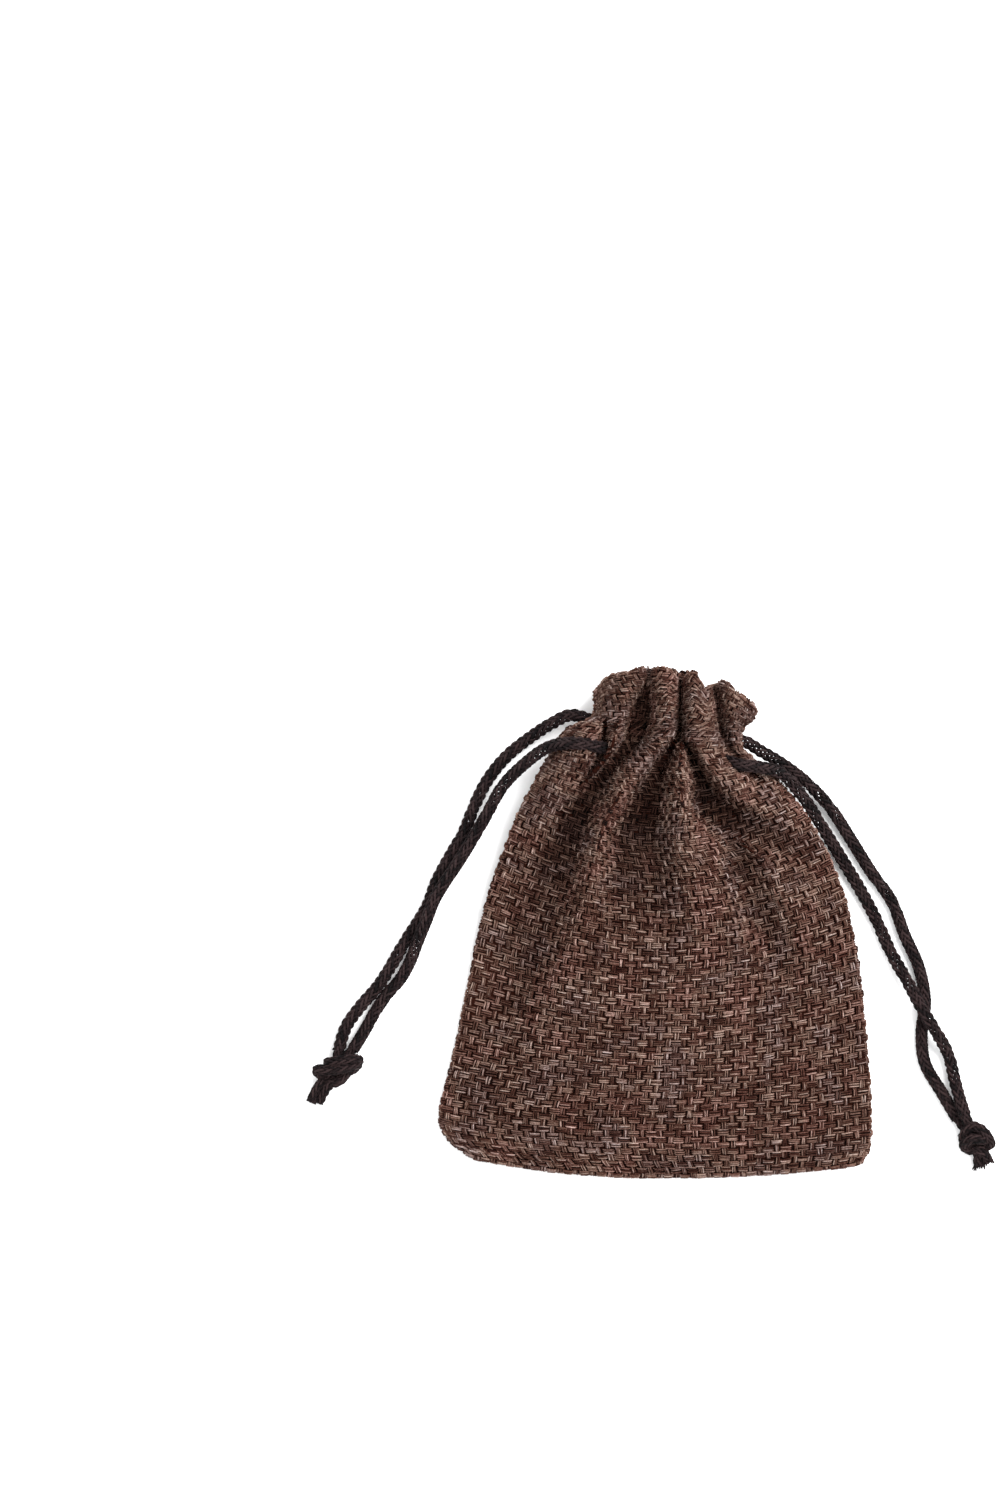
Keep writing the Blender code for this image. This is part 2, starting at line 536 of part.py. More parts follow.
def main():
    for old in list(bpy.data.objects):
        bpy.data.objects.remove(old)
    burlap = material("burlap", BURLAP_COLOUR, BURLAP_ROUGHNESS)
    braid = material("braid", CORD_COLOUR, CORD_ROUGHNESS)
    sack = sack_cloth(burlap)
    left_ring = ring_points(RING_APART / 2, LEFT_RING_START, -RING_SWEEP)
    right_ring = ring_points(-RING_APART / 2, RIGHT_RING_START, RING_SWEEP)
    drawcord("drawcord_left", LEFT_FRONT, LEFT_BACK, left_ring, sack, braid)
    drawcord("drawcord_right", RIGHT_FRONT, RIGHT_BACK, right_ring, sack, braid)
    knot("knot_left", LEFT_KNOT, LEFT_TAILS, braid)
    knot("knot_right", RIGHT_KNOT, RIGHT_TAILS, braid)


main()
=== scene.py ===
"""The looks of a small drawstring sack of burlap, drawn shut and lying on its back.

The cloth is woven yarn by yarn on one surface that runs from the turned-in top hem, over
the rim, down the front, round the bottom fold and up the back. The drawcords are braided
from their own strands, and tied in a knot at each side.

Tables and sizes are in millimetres: X runs across the sack, UP from its bottom edge to its
frill, and Z is the height above the surface that it lies on.
"""
import math
from collections import namedtuple

import bmesh
import bpy
import numpy as np
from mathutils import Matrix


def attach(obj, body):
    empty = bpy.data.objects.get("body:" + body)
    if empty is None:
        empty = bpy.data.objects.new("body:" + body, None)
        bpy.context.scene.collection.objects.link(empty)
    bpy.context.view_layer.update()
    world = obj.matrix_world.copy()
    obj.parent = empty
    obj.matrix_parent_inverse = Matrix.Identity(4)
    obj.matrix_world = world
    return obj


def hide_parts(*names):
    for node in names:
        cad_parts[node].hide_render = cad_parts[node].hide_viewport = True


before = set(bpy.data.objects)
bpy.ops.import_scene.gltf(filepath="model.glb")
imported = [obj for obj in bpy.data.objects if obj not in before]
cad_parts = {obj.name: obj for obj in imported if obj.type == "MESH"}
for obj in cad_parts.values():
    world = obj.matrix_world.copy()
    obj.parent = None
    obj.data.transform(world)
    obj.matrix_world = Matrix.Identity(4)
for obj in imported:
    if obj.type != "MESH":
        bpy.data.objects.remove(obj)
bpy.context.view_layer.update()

MM = 0.001
ORIGIN_UP = 59.16         # the middle of the sack's length is the origin

# The cloth.
FLAT_WIDTH = 100.0        # seam to seam, laid flat
RIM_RUN = 116.6           # cloth run from the bottom fold to the rim
HEM_RUN = 99.0            # the turned-in hem reaches down to this run
HEM_GAP = 1.15            # from the face's middle to the hem's
BOTTOM_TURN = 4.0         # cloth length round the bottom fold
CLOTH_DEEP = 0.5          # the cloth's middle lies this far under its outside
RUN_STEP = 0.5            # the surface is worked out every so far
COLUMNS = 400             # and at this many places across a face
FINE = 441                # samples across, before they are spaced along the cloth
SEAM_HALF = 0.9           # half the thickness of both faces together at a seam
SEAM_STEPS = 2            # places at each end of a row that turn round the seam
SEAM_LOOK = 4             # this many places in, a row shows which way its end points
TURN_STEPS = 6            # rows round the bottom fold and over the rim

# Its yarns: each is a few strands that go over and under together.
YARN_STRANDS = 3
WARP_UNITS = 48           # across a face
WEFT_PITCH = 1.5
YARN_RISE = 0.30          # how far a yarn goes over and under the cloth's middle
WARP_WIDE = 0.50
WARP_HIGH = 0.56
WEFT_WIDE = 0.56
WEFT_HIGH = 0.56
WARP_APART = 0.33         # a yarn's strands together, as a part of the pitch
WEFT_APART = 0.60
WARP_OVER = 0.30          # a yarn stays over for this part of the pitch to each side,
WARP_UNDER = 0.30         # and under for this part
WEFT_OVER = 0.43
WEFT_UNDER = 0.29
WARP_WANDER = 0.34        # how far a yarn strays to either side
WEFT_WANDER = 0.24
WANDER_STEP = 0.07        # and from one point to the next
STRAND_WANDER = 0.55      # how far a strand strays from its yarn, as a part of the yarn's own
HOLLOW_DEEP = 9.0         # a fold this deep gets the full painted shade
HOLLOW_POWER = 1.5        # and the painted shade grows by this power of the depth
HOLLOW_PACK = 1.7         # in the frill this much more cloth is packed into a fold as deep as HOLLOW_DEEP
STRAY_POINTS = (6, 5)     # a yarn's and a strand's stray change over this many points
UNEVEN = 0.08             # a point of a strand lies up to this much too high or low
THICK_SLOW = 0.18         # a strand's thickness changes by this part slowly,
THICK_FAST = 0.14         # and by this part from point to point
THICK_POINTS = 9
SLUB_FROM = 0.62          # noise above this makes a slub
SLUB_MORE = 0.9           # and a slub is that much thicker for each 1 above it
SLUB_POINTS = 14
SEAM_YARNS = (-1.5, -0.5)  # the warp yarns in a seam, in columns beyond the face
SEAM_RISE = 0.2           # how far over the weft goes round a seam
WARP_SEED = 11
WEFT_SEED = 101
SEED_SPACE = 20.0         # marks along the yarns start this far apart for each seed
YARN_SIDES = 3            # with one edge on top
BRAID_SIDES = 4
SHADE_SHEET_DEEP = 0.34        # the dark sheet of painted shade between the yarns lies this far under the middle
SHADE_SHEET_THICK = 0.22
SHADE_SHEET_LOW = 0.05         # and stays this far above the floor
SHADE_SHEET_ROWS = 200
SHADE_SHEET_ACROSS = 141
STRIP_MARGIN = 0.06       # in the bake map, at both sides of a strand's strip
END_MARGIN = 0.002        # and at its ends

# The drawcords.
BRAID_STRANDS = 8         # each way round
BRAID_TURN = 14.0         # length of one turn
BRAID_RADIUS = 1.14
BRAID_RISE = 0.20
BRAID_WIDE = 0.60
BRAID_HIGH = 0.42
BRAID_STEP = 0.5
PATH_EVERY = 2            # of these steps, between the places worked out along a cord
KNOT_SQUEEZE = 0.86       # a cord's thickness inside its knot, as a part of the whole
BRAID_OPEN = 0.62         # how much thinner some strands are where the braid stands open:
THIN_EVERY = 4            # one in so many
OPEN_FADE = 3.0           # the braid opens over this height
KNOT_CORE = 1.8           # the thread inside a knot's cords, which shows where they bend open
CORE_SIDES = 8
FRAY_COUNT = 20           # loose ends at each cut end of the right cord
FRAY_LENGTH = 1.1         # the longest one,
FRAY_SHORT = 0.5          # the shortest, as a part of the longest,
FRAY_INSIDE = 1.0         # and what each is longer by, to start hidden in the cord
FRAY_THICK = 0.42
FRAY_TIP = 0.45           # the tip's thickness, as a part of that
FRAY_POINTS = 6
FRAY_BACK = 1.2           # they start this far inside the cut end
FRAY_OUT = 0.95           # and this far from the cord's middle,
FRAY_SPREAD = 0.9         # and spread by up to this much more
FRAY_LOW = 0.6            # of their thickness above the floor, at least
FRAY_LOOK = 4             # a cord's last steps, which show which way its cut end points
FRAY_SEED = 5

# The view straight down, in the photograph's frame.
VIEW_X = -35.9
VIEW_UP = 98.9
VIEW_TALL = 346.5
VIEW_AWAY = 1500.0
SENSOR = 36.0

# Light, floor and colours (linear).
FLOOR_HALF = 1500.0
FLOOR_COLOUR = (0.98, 0.98, 0.98)
FLOOR_ROUGH = 0.9
WORLD_STRENGTH = 1.6
KEY_PLACE = (700.0, 480.0, 1200.0)
KEY_SIZE = 900.0
KEY_POWER = 39.0
PLAIN_SPECULAR = 0.05
# painted shade: the sheet between the yarns is coloured as the dark seen through the weave's gaps
SHADE_SHEET_COLOUR = (0.014, 0.0030, 0.0014)
SHADE_SHEET_ROUGH = 0.95
BURLAP_COLOURS = (
    (0.05, (0.014, 0.0030, 0.0018)), (0.28, (0.035, 0.0128, 0.0088)), (0.48, (0.079, 0.0415, 0.0325)),
    (0.66, (0.139, 0.088, 0.0735)), (0.84, (0.228, 0.163, 0.145)), (1.00, (0.350, 0.280, 0.258)))
BURLAP_TINTS = (          # cool, olive and red
    (0.38, (0.97, 1.00, 1.04)), (0.50, (1.02, 1.01, 0.93)), (0.62, (1.09, 0.96, 0.93)))
BURLAP_GAINS = {"grain": 0.85, "own": 0.24, "shade": 0.58, "patches": 0.38, "cloudy": 0.16}
GRAIN = (2400.0, 2.0, 0.7)  # noise: its scale, detail and roughness
CLOUDS = (90.0, 3.0, 0.6)
TINTS = (130.0, 4.0, 0.5)
TINTS_AWAY = (3.0, 1.0, 2.0)  # read at another place than the other noise
BURLAP_MARKS = {"Patch": 0.30, "Twist": 0.8}
BURLAP_SURFACE = (0.88, 0.08)  # roughness and specular level
BURLAP_BUMP = (0.5, 0.08)      # strength and height
PAINTED_FOLD_SHADE = (0.72, 0.785, 0.81)  # painted shade: how much darker the yarns are coloured deep inside a fold
RISE_PAINTED_SHADE = (-1.0, -0.1)   # painted shade darkens a yarn between these rises
DIP_PAINTED_LOW = 0.10         # how bright the painted shade leaves it where it dips under another
FLANK_PAINTED_LIGHT = (0.40, 0.80)  # a strand's painted light grows between these places from flank to top,
FLANK_PAINTED_LOW = 0.45          # from this brightness
PAINTED_SHADE_POWERS = (1.0, 1.4, 1.55)  # what lies in painted shade is painted redder
CORD_COLOURS = (
    (0.20, (0.0012, 0.0006, 0.0008)), (0.50, (0.0052, 0.0026, 0.0030)), (0.80, (0.026, 0.0150, 0.0150)))
CORD_GAINS = (0.55, 0.45)  # each strand's own shade, and its patches
CORD_MARKS = {"Patch": 0.5, "Twist": 0.5}
CORD_SURFACE = (0.8, 0.10)
CORD_BUMP = (0.6, 0.1)
OWN_STEP = 1.37           # strands this far apart in the noise have nothing in common
PATCH_STEP = 7.31
PATCH_NOISE = (1.0, 2.0, 0.6)
NOISE_MIDDLE = 0.5        # all noise in the finishes lies about this
NOISE_END = 1.001         # noise along lines ends just short of its last mark
RIDGES = 3                # round a twisted strand

# The sack's shape.
SIDE_BOW = (2.2, 1.9)     # the weft rows' curve: this power near the bottom, and higher up,
BOW_CHANGE = (5.0, 40.0)  # changing between these runs
BACK_FLAT = 1.3           # the larger, the nearer to the seams the back still lies flat
FOLD_STEPS = 8            # a fold's line is split so often between its rows
FOLD_SOFTNESS = 0.6       # 0 makes a fold's bottom sharp, and 1 makes it round
FOLD_REST = 0.9           # a fold goes in by at most this part of the way to the seams' height
CASING_UP = 100.3         # the casing's middle
FRILL_START = 3.0         # the rim's notches begin this far above the casing
DRAWN_FROM = 84.0         # the tubes form between these heights
DRAWN_TO = 96.0

TINY = 1e-9               # no length is divided by less
WHOLE_SIZES = ("Strands", "Sides")  # the trees' sockets that take whole numbers
HALF_TURN = np.linspace(0, math.pi, TURN_STEPS + 2)[1:-1]  # angles of the rows round a fold

# A cross-section: cloth run from the bottom edge, where its middle lies, its two seams,
# how much farther up the seams lie, its full height, the seams' heights, and the power by
# which it thins towards its edges.
Section = namedtuple("Section", "run up left right bow_left bow_right thick seam_left seam_right edge")
SECTIONS = (
    Section(0.0, 1.6, -43.8, 47.8, 4.6, 2.8, 3.0, 1.5, 1.5, 0.15),
    Section(3.0, 4.6, -47.4, 49.0, 4.4, 2.8, 4.4, 1.8, 1.8, 0.35),
    Section(8.0, 9.4, -49.3, 49.3, 4.2, 3.0, 6.0, 1.6, 1.6, 0.70),
    Section(22.0, 23.4, -46.1, 48.4, 5.2, 4.8, 8.8, 1.8, 1.8, 0.80),
    Section(38.0, 39.4, -42.3, 46.8, 7.2, 6.8, 11.4, 2.5, 2.5, 0.82),
    Section(52.0, 53.2, -39.1, 43.9, 9.0, 8.6, 13.6, 3.8, 3.8, 0.80),
    Section(64.0, 65.0, -34.9, 39.6, 9.6, 8.8, 15.8, 5.5, 5.6, 0.76),
    Section(74.0, 74.8, -31.4, 34.6, 9.2, 8.0, 18.0, 7.3, 7.3, 0.70),
    Section(82.0, 82.8, -27.9, 29.7, 8.0, 6.6, 20.0, 8.9, 8.9, 0.62),
    Section(89.0, 89.8, -25.3, 25.5, 6.0, 4.4, 21.6, 10.1, 10.1, 0.55),
    Section(94.0, 94.8, -23.6, 21.9, 4.0, 2.4, 22.4, 10.8, 10.8, 0.50),
    Section(98.0, 98.6, -22.4, 19.5, 2.8, 1.2, 22.6, 11.0, 11.0, 0.50),
    Section(102.0, 102.4, -20.0, 19.1, 1.6, 0.0, 22.4, 11.0, 11.0, 0.50),
    Section(106.0, 106.2, -14.2, 19.8, 0.6, -1.8, 22.4, 10.0, 12.5, 0.50),
    Section(111.0, 111.0, -13.8, 21.4, -0.4, -5.4, 23.0, 9.0, 15.0, 0.50),
    Section(116.6, 116.8, -14.2, 22.3, -2.2, -9.2, 23.6, 8.4, 17.5, 0.50),
)

# Folds: a line of (x, up) with its half width and depth, from the frill downwards, and the
# width to each side of the line at which it is still fully deep.
FoldRow = namedtuple("FoldRow", "x up half depth gap", defaults=(0.0,))
FRONT_FOLDS = {
    "left valley": (
        (-1.8, 117.6, 3.6, 2.6), (-2.2, 114.4, 4.0, 5.4, 0.4), (-3.0, 110.6, 4.0, 9.5, 1.4),
        (-3.8, 106.0, 3.8, 12.0, 2.0), (-5.8, 101.0, 3.8, 12.0, 1.6), (-8.9, 97.2, 4.0, 10.5, 0.9),
        (-12.8, 92.0, 4.4, 10.0, 1.1), (-17.0, 85.7, 5.2, 9.8, 1.2), (-20.4, 78.4, 6.4, 8.6, 1.4),
        (-24.0, 70.4, 7.6, 7.2, 2.0), (-28.4, 58.0, 8.6, 5.8, 2.4), (-32.6, 46.0, 9.5, 4.0, 2.0),
        (-35.4, 34.0, 10.0, 2.0, 1.0), (-37.6, 22.0, 10.0, 0.0)),
    "middle valley": (
        (5.3, 117.4, 3.4, 8.0), (5.1, 103.4, 3.5, 11.0, 0.4), (3.2, 99.2, 3.1, 12.0, 0.5),
        (0.8, 95.4, 3.4, 12.0, 1.1), (-1.6, 89.6, 4.2, 11.6, 1.8), (-3.4, 83.4, 4.8, 9.8, 2.8),
        (-4.4, 76.4, 5.4, 7.6, 4.0), (-4.2, 68.0, 6.4, 5.6, 4.2), (-3.2, 60.0, 7.6, 3.4, 2.8),
        (-2.0, 52.0, 8.5, 1.0, 1.0), (-1.0, 44.0, 8.5, 0.0)),
    "right valley": (
        (5.0, 102.4, 2.2, 3.0), (7.3, 98.4, 2.5, 9.5, 0.4), (9.6, 92.6, 3.4, 11.0, 0.9),
        (11.4, 87.4, 4.2, 11.0, 1.6), (14.9, 84.0, 4.6, 10.4, 1.5), (19.5, 81.2, 5.0, 8.8, 1.1),
        (26.4, 78.2, 5.6, 6.2, 0.6), (33.0, 75.6, 6.4, 2.6), (39.0, 73.0, 7.0, 0.0)),
    "right branch": (
        (15.4, 82.6, 4.0, 5.0), (18.4, 75.2, 5.0, 6.2, 0.6), (23.2, 62.6, 6.2, 5.8, 1.0),
        (27.0, 55.0, 7.0, 4.6, 0.8), (31.0, 46.0, 8.0, 2.6), (34.0, 34.0, 8.5, 0.0)),
    "frill side valley": (
        (11.4, 117.4, 3.4, 9.0), (13.6, 110.6, 3.6, 9.5, 0.2), (14.6, 104.2, 3.6, 10.5, 0.3),
        (16.6, 99.4, 3.6, 9.0, 0.6), (20.6, 95.4, 3.6, 5.0, 0.2), (26.0, 89.5, 4.0, 0.0)),
    "left slot valley": (
        (-11.8, 107.0, 2.4, 0.0), (-12.0, 102.6, 3.0, 7.5, 0.3), (-12.6, 98.8, 3.4, 7.5, 0.6),
        (-16.6, 92.2, 3.8, 4.0), (-23.0, 83.0, 5.0, 0.0)),
}
FRONT_RIDGES = {
    "left crest": (
        (-5.4, 97.0, 3.0, 0.8), (-9.8, 87.6, 4.2, 2.2), (-14.4, 78.6, 5.2, 2.6), (-16.4, 70.0, 6.4, 2.2),
        (-17.6, 56.0, 8.0, 0.0)),
    "middle crest": (
        (5.0, 98.0, 2.4, 0.8), (5.8, 86.0, 3.8, 2.6), (7.4, 76.0, 5.0, 2.6), (10.4, 66.0, 7.0, 2.0),
        (12.0, 54.0, 9.0, 0.0)),
    "right crest": (
        (13.0, 96.0, 3.0, 0.8), (18.0, 90.0, 4.0, 1.8), (27.0, 85.5, 4.5, 0.0)),
}
BACK_FOLDS = {
    "left": (
        (-7.0, 117.0, 4.6, 7.5), (-6.4, 103.0, 4.4, 8.5), (-10.5, 90.0, 5.0, 5.0),
        (-18.0, 74.0, 6.5, 0.0)),
    "middle": (
        (2.4, 117.0, 4.6, 8.0), (1.4, 103.0, 4.4, 8.5), (0.6, 88.0, 5.4, 5.0), (1.2, 70.0, 8.0, 0.0)),
    "right": (
        (12.0, 117.0, 4.6, 7.5), (9.6, 103.0, 4.2, 8.5), (13.6, 90.0, 5.0, 5.0), (20.0, 76.0, 6.5, 0.0)),
}
Notch = namedtuple("Notch", "x half depth")
NOTCHES = (Notch(-14.6, 1.8, 2.6), Notch(5.3, 1.5, 2.0), Notch(11.3, 1.9, 3.0))

# The drawcords' free strands, from just inside the casing to the knot, as rows of x, up and z.
LEFT_FRONT = (
    (-9.6, 99.2, 13.0), (-13.0, 99.6, 17.6), (-17.6, 100.4, 19.0), (-24.0, 99.8, 14.8),
    (-30.4, 95.6, 9.4), (-35.4, 90.4, 6.2), (-39.0, 84.0, 5.2), (-42.2, 78.4, 5.0), (-45.8, 72.6, 5.0),
    (-48.9, 68.0, 4.9), (-51.0, 64.4, 5.0), (-52.8, 59.8, 4.8), (-55.0, 54.4, 3.6), (-56.6, 50.2, 2.3),
    (-58.8, 46.2, 2.1), (-61.9, 42.6, 2.0), (-64.4, 39.0, 1.8), (-67.2, 34.0, 1.9), (-69.8, 29.8, 2.9))
LEFT_BACK = (
    (-10.5, 103.6, 5.0), (-14.6, 105.6, 6.0), (-19.8, 106.9, 5.0), (-24.0, 105.0, 3.8),
    (-29.2, 101.6, 2.4), (-34.4, 97.4, 1.6), (-39.0, 91.6, 1.6), (-41.8, 86.0, 1.6), (-44.1, 80.2, 1.6),
    (-47.5, 74.2, 1.6), (-50.5, 68.6, 1.6), (-52.8, 62.6, 1.6), (-55.2, 58.6, 1.6), (-58.2, 54.0, 1.6),
    (-60.7, 49.6, 1.6), (-63.9, 44.6, 1.6), (-68.2, 39.6, 1.6), (-71.4, 35.0, 1.6), (-73.2, 29.4, 2.2))
RIGHT_FRONT = (
    (13.4, 97.6, 11.0), (16.0, 96.4, 15.0), (19.0, 95.5, 17.4), (23.4, 95.0, 15.8), (28.0, 93.8, 12.0),
    (33.6, 88.2, 7.8), (38.0, 81.6, 4.6), (42.4, 74.6, 2.4), (46.8, 67.4, 1.6), (50.8, 60.0, 1.6),
    (54.2, 52.4, 1.8), (58.2, 45.2, 3.6), (61.8, 38.4, 5.0), (65.0, 33.2, 4.2), (67.6, 28.4, 2.2),
    (69.0, 22.8, 2.0), (70.2, 18.0, 3.8), (71.2, 14.8, 4.8))
RIGHT_BACK = (
    (11.0, 98.6, 4.8), (15.4, 99.6, 6.0), (19.6, 101.0, 6.2), (24.2, 98.6, 6.6), (28.9, 95.8, 6.4),
    (35.2, 91.0, 4.4), (40.4, 85.4, 2.4), (45.0, 78.4, 1.6), (49.6, 71.0, 1.6), (54.6, 63.8, 1.6),
    (57.4, 56.4, 1.6), (60.8, 48.6, 1.6), (62.2, 40.4, 1.6), (61.4, 34.0, 1.6), (62.0, 27.2, 1.6),
    (66.2, 19.6, 1.6), (69.6, 13.8, 1.6))

# The heights between which each strand's braid stands open, so that light shows through it.
OPEN_BRAID = {
    ("left", "front"): ((90.0, 77.0), (45.0, 36.0)),
    ("left", "back"): ((89.0, 79.0), (56.0, 50.0)),
    ("right", "front"): ((92.0, 82.0), (61.0, 45.0), (36.0, 25.0)),
    ("right", "back"): ((91.0, 84.0), (68.0, 61.0)),
}

# The cords inside their knots: under the turns, over them as the band that shows, and out.
LEFT_KNOT = (
    ((-72.8, 30.7, 2.2), (-73.4, 28.0, 2.4), (-74.2, 25.5, 2.3), (-76.0, 23.7, 2.0), (-77.5, 24.2, 2.6),
     (-78.0, 25.3, 4.0), (-76.0, 25.1, 5.0), (-72.6, 25.5, 5.3), (-69.8, 26.2, 4.6), (-68.7, 26.6, 3.2),
     (-70.0, 25.2, 1.8), (-72.9, 24.4, 1.6), (-75.2, 23.1, 1.7), (-77.2, 21.9, 1.8), (-78.6, 19.6, 1.6),
     (-79.5, 17.6, 1.5)),
    ((-69.4, 30.5, 2.8), (-71.1, 28.3, 2.7), (-73.1, 26.4, 2.4), (-74.9, 26.2, 2.7), (-75.6, 26.8, 4.0),
     (-74.2, 27.1, 4.9), (-71.6, 27.5, 5.3), (-69.3, 27.7, 4.8), (-68.5, 27.5, 3.3), (-69.0, 26.1, 1.8),
     (-71.1, 24.7, 1.6), (-72.2, 23.3, 2.4), (-73.4, 22.4, 2.9), (-74.9, 22.1, 2.4), (-76.2, 20.6, 1.9),
     (-77.2, 18.8, 1.6), (-77.8, 17.4, 1.5)))
RIGHT_KNOT = (
    ((71.0, 15.3, 4.6), (72.0, 12.9, 4.2), (73.1, 10.6, 3.0), (74.0, 8.6, 2.2), (75.6, 7.7, 2.3),
     (77.0, 8.0, 3.3), (76.4, 9.8, 4.5), (75.0, 11.4, 5.3), (73.4, 12.2, 5.2), (71.7, 11.4, 4.4),
     (70.9, 9.9, 3.2), (71.5, 8.3, 1.9), (73.0, 7.4, 1.6), (74.4, 6.0, 1.6), (74.5, 4.2, 1.4),
     (74.8, 2.8, 1.3)),
    ((69.6, 14.2, 1.7), (71.4, 11.7, 1.8), (73.5, 10.1, 1.7), (75.3, 10.4, 2.4), (76.1, 9.6, 3.6),
     (75.0, 9.2, 4.9), (73.3, 9.5, 5.4), (71.8, 8.8, 4.6), (71.0, 7.7, 3.2), (72.2, 6.8, 2.6),
     (74.0, 6.9, 3.0), (75.6, 6.0, 2.8), (76.3, 4.9, 2.0), (76.8, 4.0, 1.6)))


def at(x, up, z):
    """A place in the tables' millimetres as a place in metres about the origin."""
    return (x * MM, (up - ORIGIN_UP) * MM, z * MM)


def column(rows, name):
    return [getattr(row, name) for row in rows]


def so_far(steps):
    """The length at each of a line's points, from the steps between them."""
    return np.concatenate(([0], np.cumsum(steps)))


def between(knots, values, tangents, places):
    """Read a smooth curve that has the given values and tangents at the knots."""
    low = np.clip(np.searchsorted(knots, places, side="right") - 1, 0, len(knots) - 2)
    span = knots[low + 1] - knots[low]
    t = np.clip((places - knots[low]) / span, 0.0, 1.0)
    if values.ndim > 1:
        span, t = span[:, None], t[:, None]
    return (values[low] * (1 + 2 * t) * (1 - t) ** 2 + tangents[low] * span * t * (1 - t) ** 2
            + values[low + 1] * t * t * (3 - 2 * t) - tangents[low + 1] * span * t * t * (1 - t))


def curve_through(knots, values, places):
    """Read a smooth curve through the values at the knots, with no overshoot between them."""
    knots = np.asarray(knots, dtype=float)
    values = np.asarray(values, dtype=float)
    slopes = np.diff(values) / np.diff(knots)
    product = slopes[:-1] * slopes[1:]
    total = np.where(product > 0, slopes[:-1] + slopes[1:], 1.0)
    tangents = np.concatenate(([slopes[0]], np.where(product > 0, 2 * product / total, 0.0), [slopes[-1]]))
    return between(knots, values, tangents, places)


def smooth_step(low, high, value):
    t = np.clip((value - low) / (high - low), 0.0, 1.0)
    return t * t * (3 - 2 * t)


def unit_long(vectors):
    return vectors / np.maximum(np.linalg.norm(vectors, axis=-1, keepdims=True), TINY)


# ---------------------------------------------------------------------------------------
# The cloth's surface


def fold_field(folds, x, up, drawn=0.0):
    """How deep the folds are at each place: the deepest one counts. Where the cloth is drawn
    together it stands in round tubes with a narrow gap between them."""
    field = np.zeros_like(x)
    for rows in folds.values():
        rows = [FoldRow(*row) for row in rows]
        index = np.arange(len(rows))
        fine = np.linspace(0, len(rows) - 1, (len(rows) - 1) * FOLD_STEPS + 1)
        line_x, line_up, half, depth, gap = (
            curve_through(index, column(rows, name), fine) for name in FoldRow._fields)
        nearest = np.full_like(x, np.inf)
        here = np.zeros_like(x)
        width = np.ones_like(x)
        inner = np.zeros_like(x)
        for k in range(len(fine) - 1):
            dx, dup = line_x[k + 1] - line_x[k], line_up[k + 1] - line_up[k]
            t = np.clip(((x - line_x[k]) * dx + (up - line_up[k]) * dup) / (dx * dx + dup * dup), 0, 1)
            away = np.hypot(x - line_x[k] - t * dx, up - line_up[k] - t * dup)
            closer = away < nearest
            nearest = np.where(closer, away, nearest)
            here = np.where(closer, depth[k] + t * (depth[k + 1] - depth[k]), here)
            width = np.where(closer, half[k] + t * (half[k + 1] - half[k]), width)
            inner = np.where(closer, gap[k] + t * (gap[k + 1] - gap[k]), inner)
        r = np.clip((nearest - inner) / width, 0, 1)
        open_fold = (1 - r) ** 2 * (1 + 2 * FOLD_SOFTNESS * r)
        between_tubes = 1 - np.sqrt(r * (2 - r))
        field = np.maximum(field, here * (open_fold + drawn * (between_tubes - open_fold)))
    return field


def soft_limit(value, limit):
    """The value where it is small, and never more than the limit."""
    return limit * np.tanh(value / limit)


def face_surfaces(runs):
    """The front and the back of the sack: a row of places for each run, evenly spaced across."""
    known = column(SECTIONS, "run")
    part = {name: curve_through(known, column(SECTIONS, name), runs)[:, None] for name in Section._fields}
    q = -np.cos(np.linspace(0, math.pi, FINE))[None, :]
    x = (part["left"] + part["right"]) / 2 + (part["right"] - part["left"]) / 2 * q
    power = SIDE_BOW[0] + (SIDE_BOW[1] - SIDE_BOW[0]) * smooth_step(*BOW_CHANGE, runs)[:, None]
    bow = np.where(q < 0, part["bow_left"], part["bow_right"]) * np.abs(q) ** power
    frill = smooth_step(CASING_UP + FRILL_START, RIM_RUN, runs)[:, None]
    notches = sum(notch.depth * np.exp(-((x - notch.x) / notch.half) ** 2) for notch in NOTCHES)
    up = part["up"] + bow - frill * notches
    round_edge = np.clip(1 - q * q, 0, 1) ** part["edge"]
    seam = part["seam_left"] + (part["seam_right"] - part["seam_left"]) * (1 + q) / 2
    front_base = seam + np.hypot((part["thick"] - seam) * round_edge, SEAM_HALF)
    back_base = seam - np.maximum(seam * np.minimum(1, BACK_FLAT * round_edge), SEAM_HALF)
    drawn = smooth_step(DRAWN_FROM, DRAWN_TO, up)
    front_depth = fold_field(FRONT_FOLDS, x, up, drawn)
    back_depth = fold_field(BACK_FOLDS, x, up, drawn)
    front = front_base - soft_limit(front_depth, FOLD_REST * (front_base - seam))
    front = front + fold_field(FRONT_RIDGES, x, up) * round_edge
    back = back_base + soft_limit(back_depth, FOLD_REST * (seam - back_base))
    packed = HOLLOW_PACK * smooth_step(DRAWN_TO, CASING_UP + FRILL_START, up)
    return [evenly_across(x, up, z, packed * hollow(depth))
            for z, depth in ((front, front_depth), (back, back_depth))]


def hollow(depth):
    """How far inside a deep fold a place is, from 0 to 1."""
    return np.clip(depth / HOLLOW_DEEP, 0, 1) ** HOLLOW_POWER


def evenly_across(x, up, z, packed):
    """The same rows of places, spaced evenly along the cloth, apart from the extra cloth that
    is packed together inside the folds."""
    steps = np.sqrt(np.diff(x) ** 2 + np.diff(up) ** 2 + np.diff(z) ** 2)
    steps = steps * (1 + (packed[:, 1:] + packed[:, :-1]) / 2)
    rows = []
    for k in range(len(x)):
        along = so_far(steps[k])
        even = np.linspace(0, along[-1], COLUMNS + 1)
        rows.append(np.stack([np.interp(even, along, values[k]) for values in (x, up, z)], axis=-1))
    return np.array(rows)


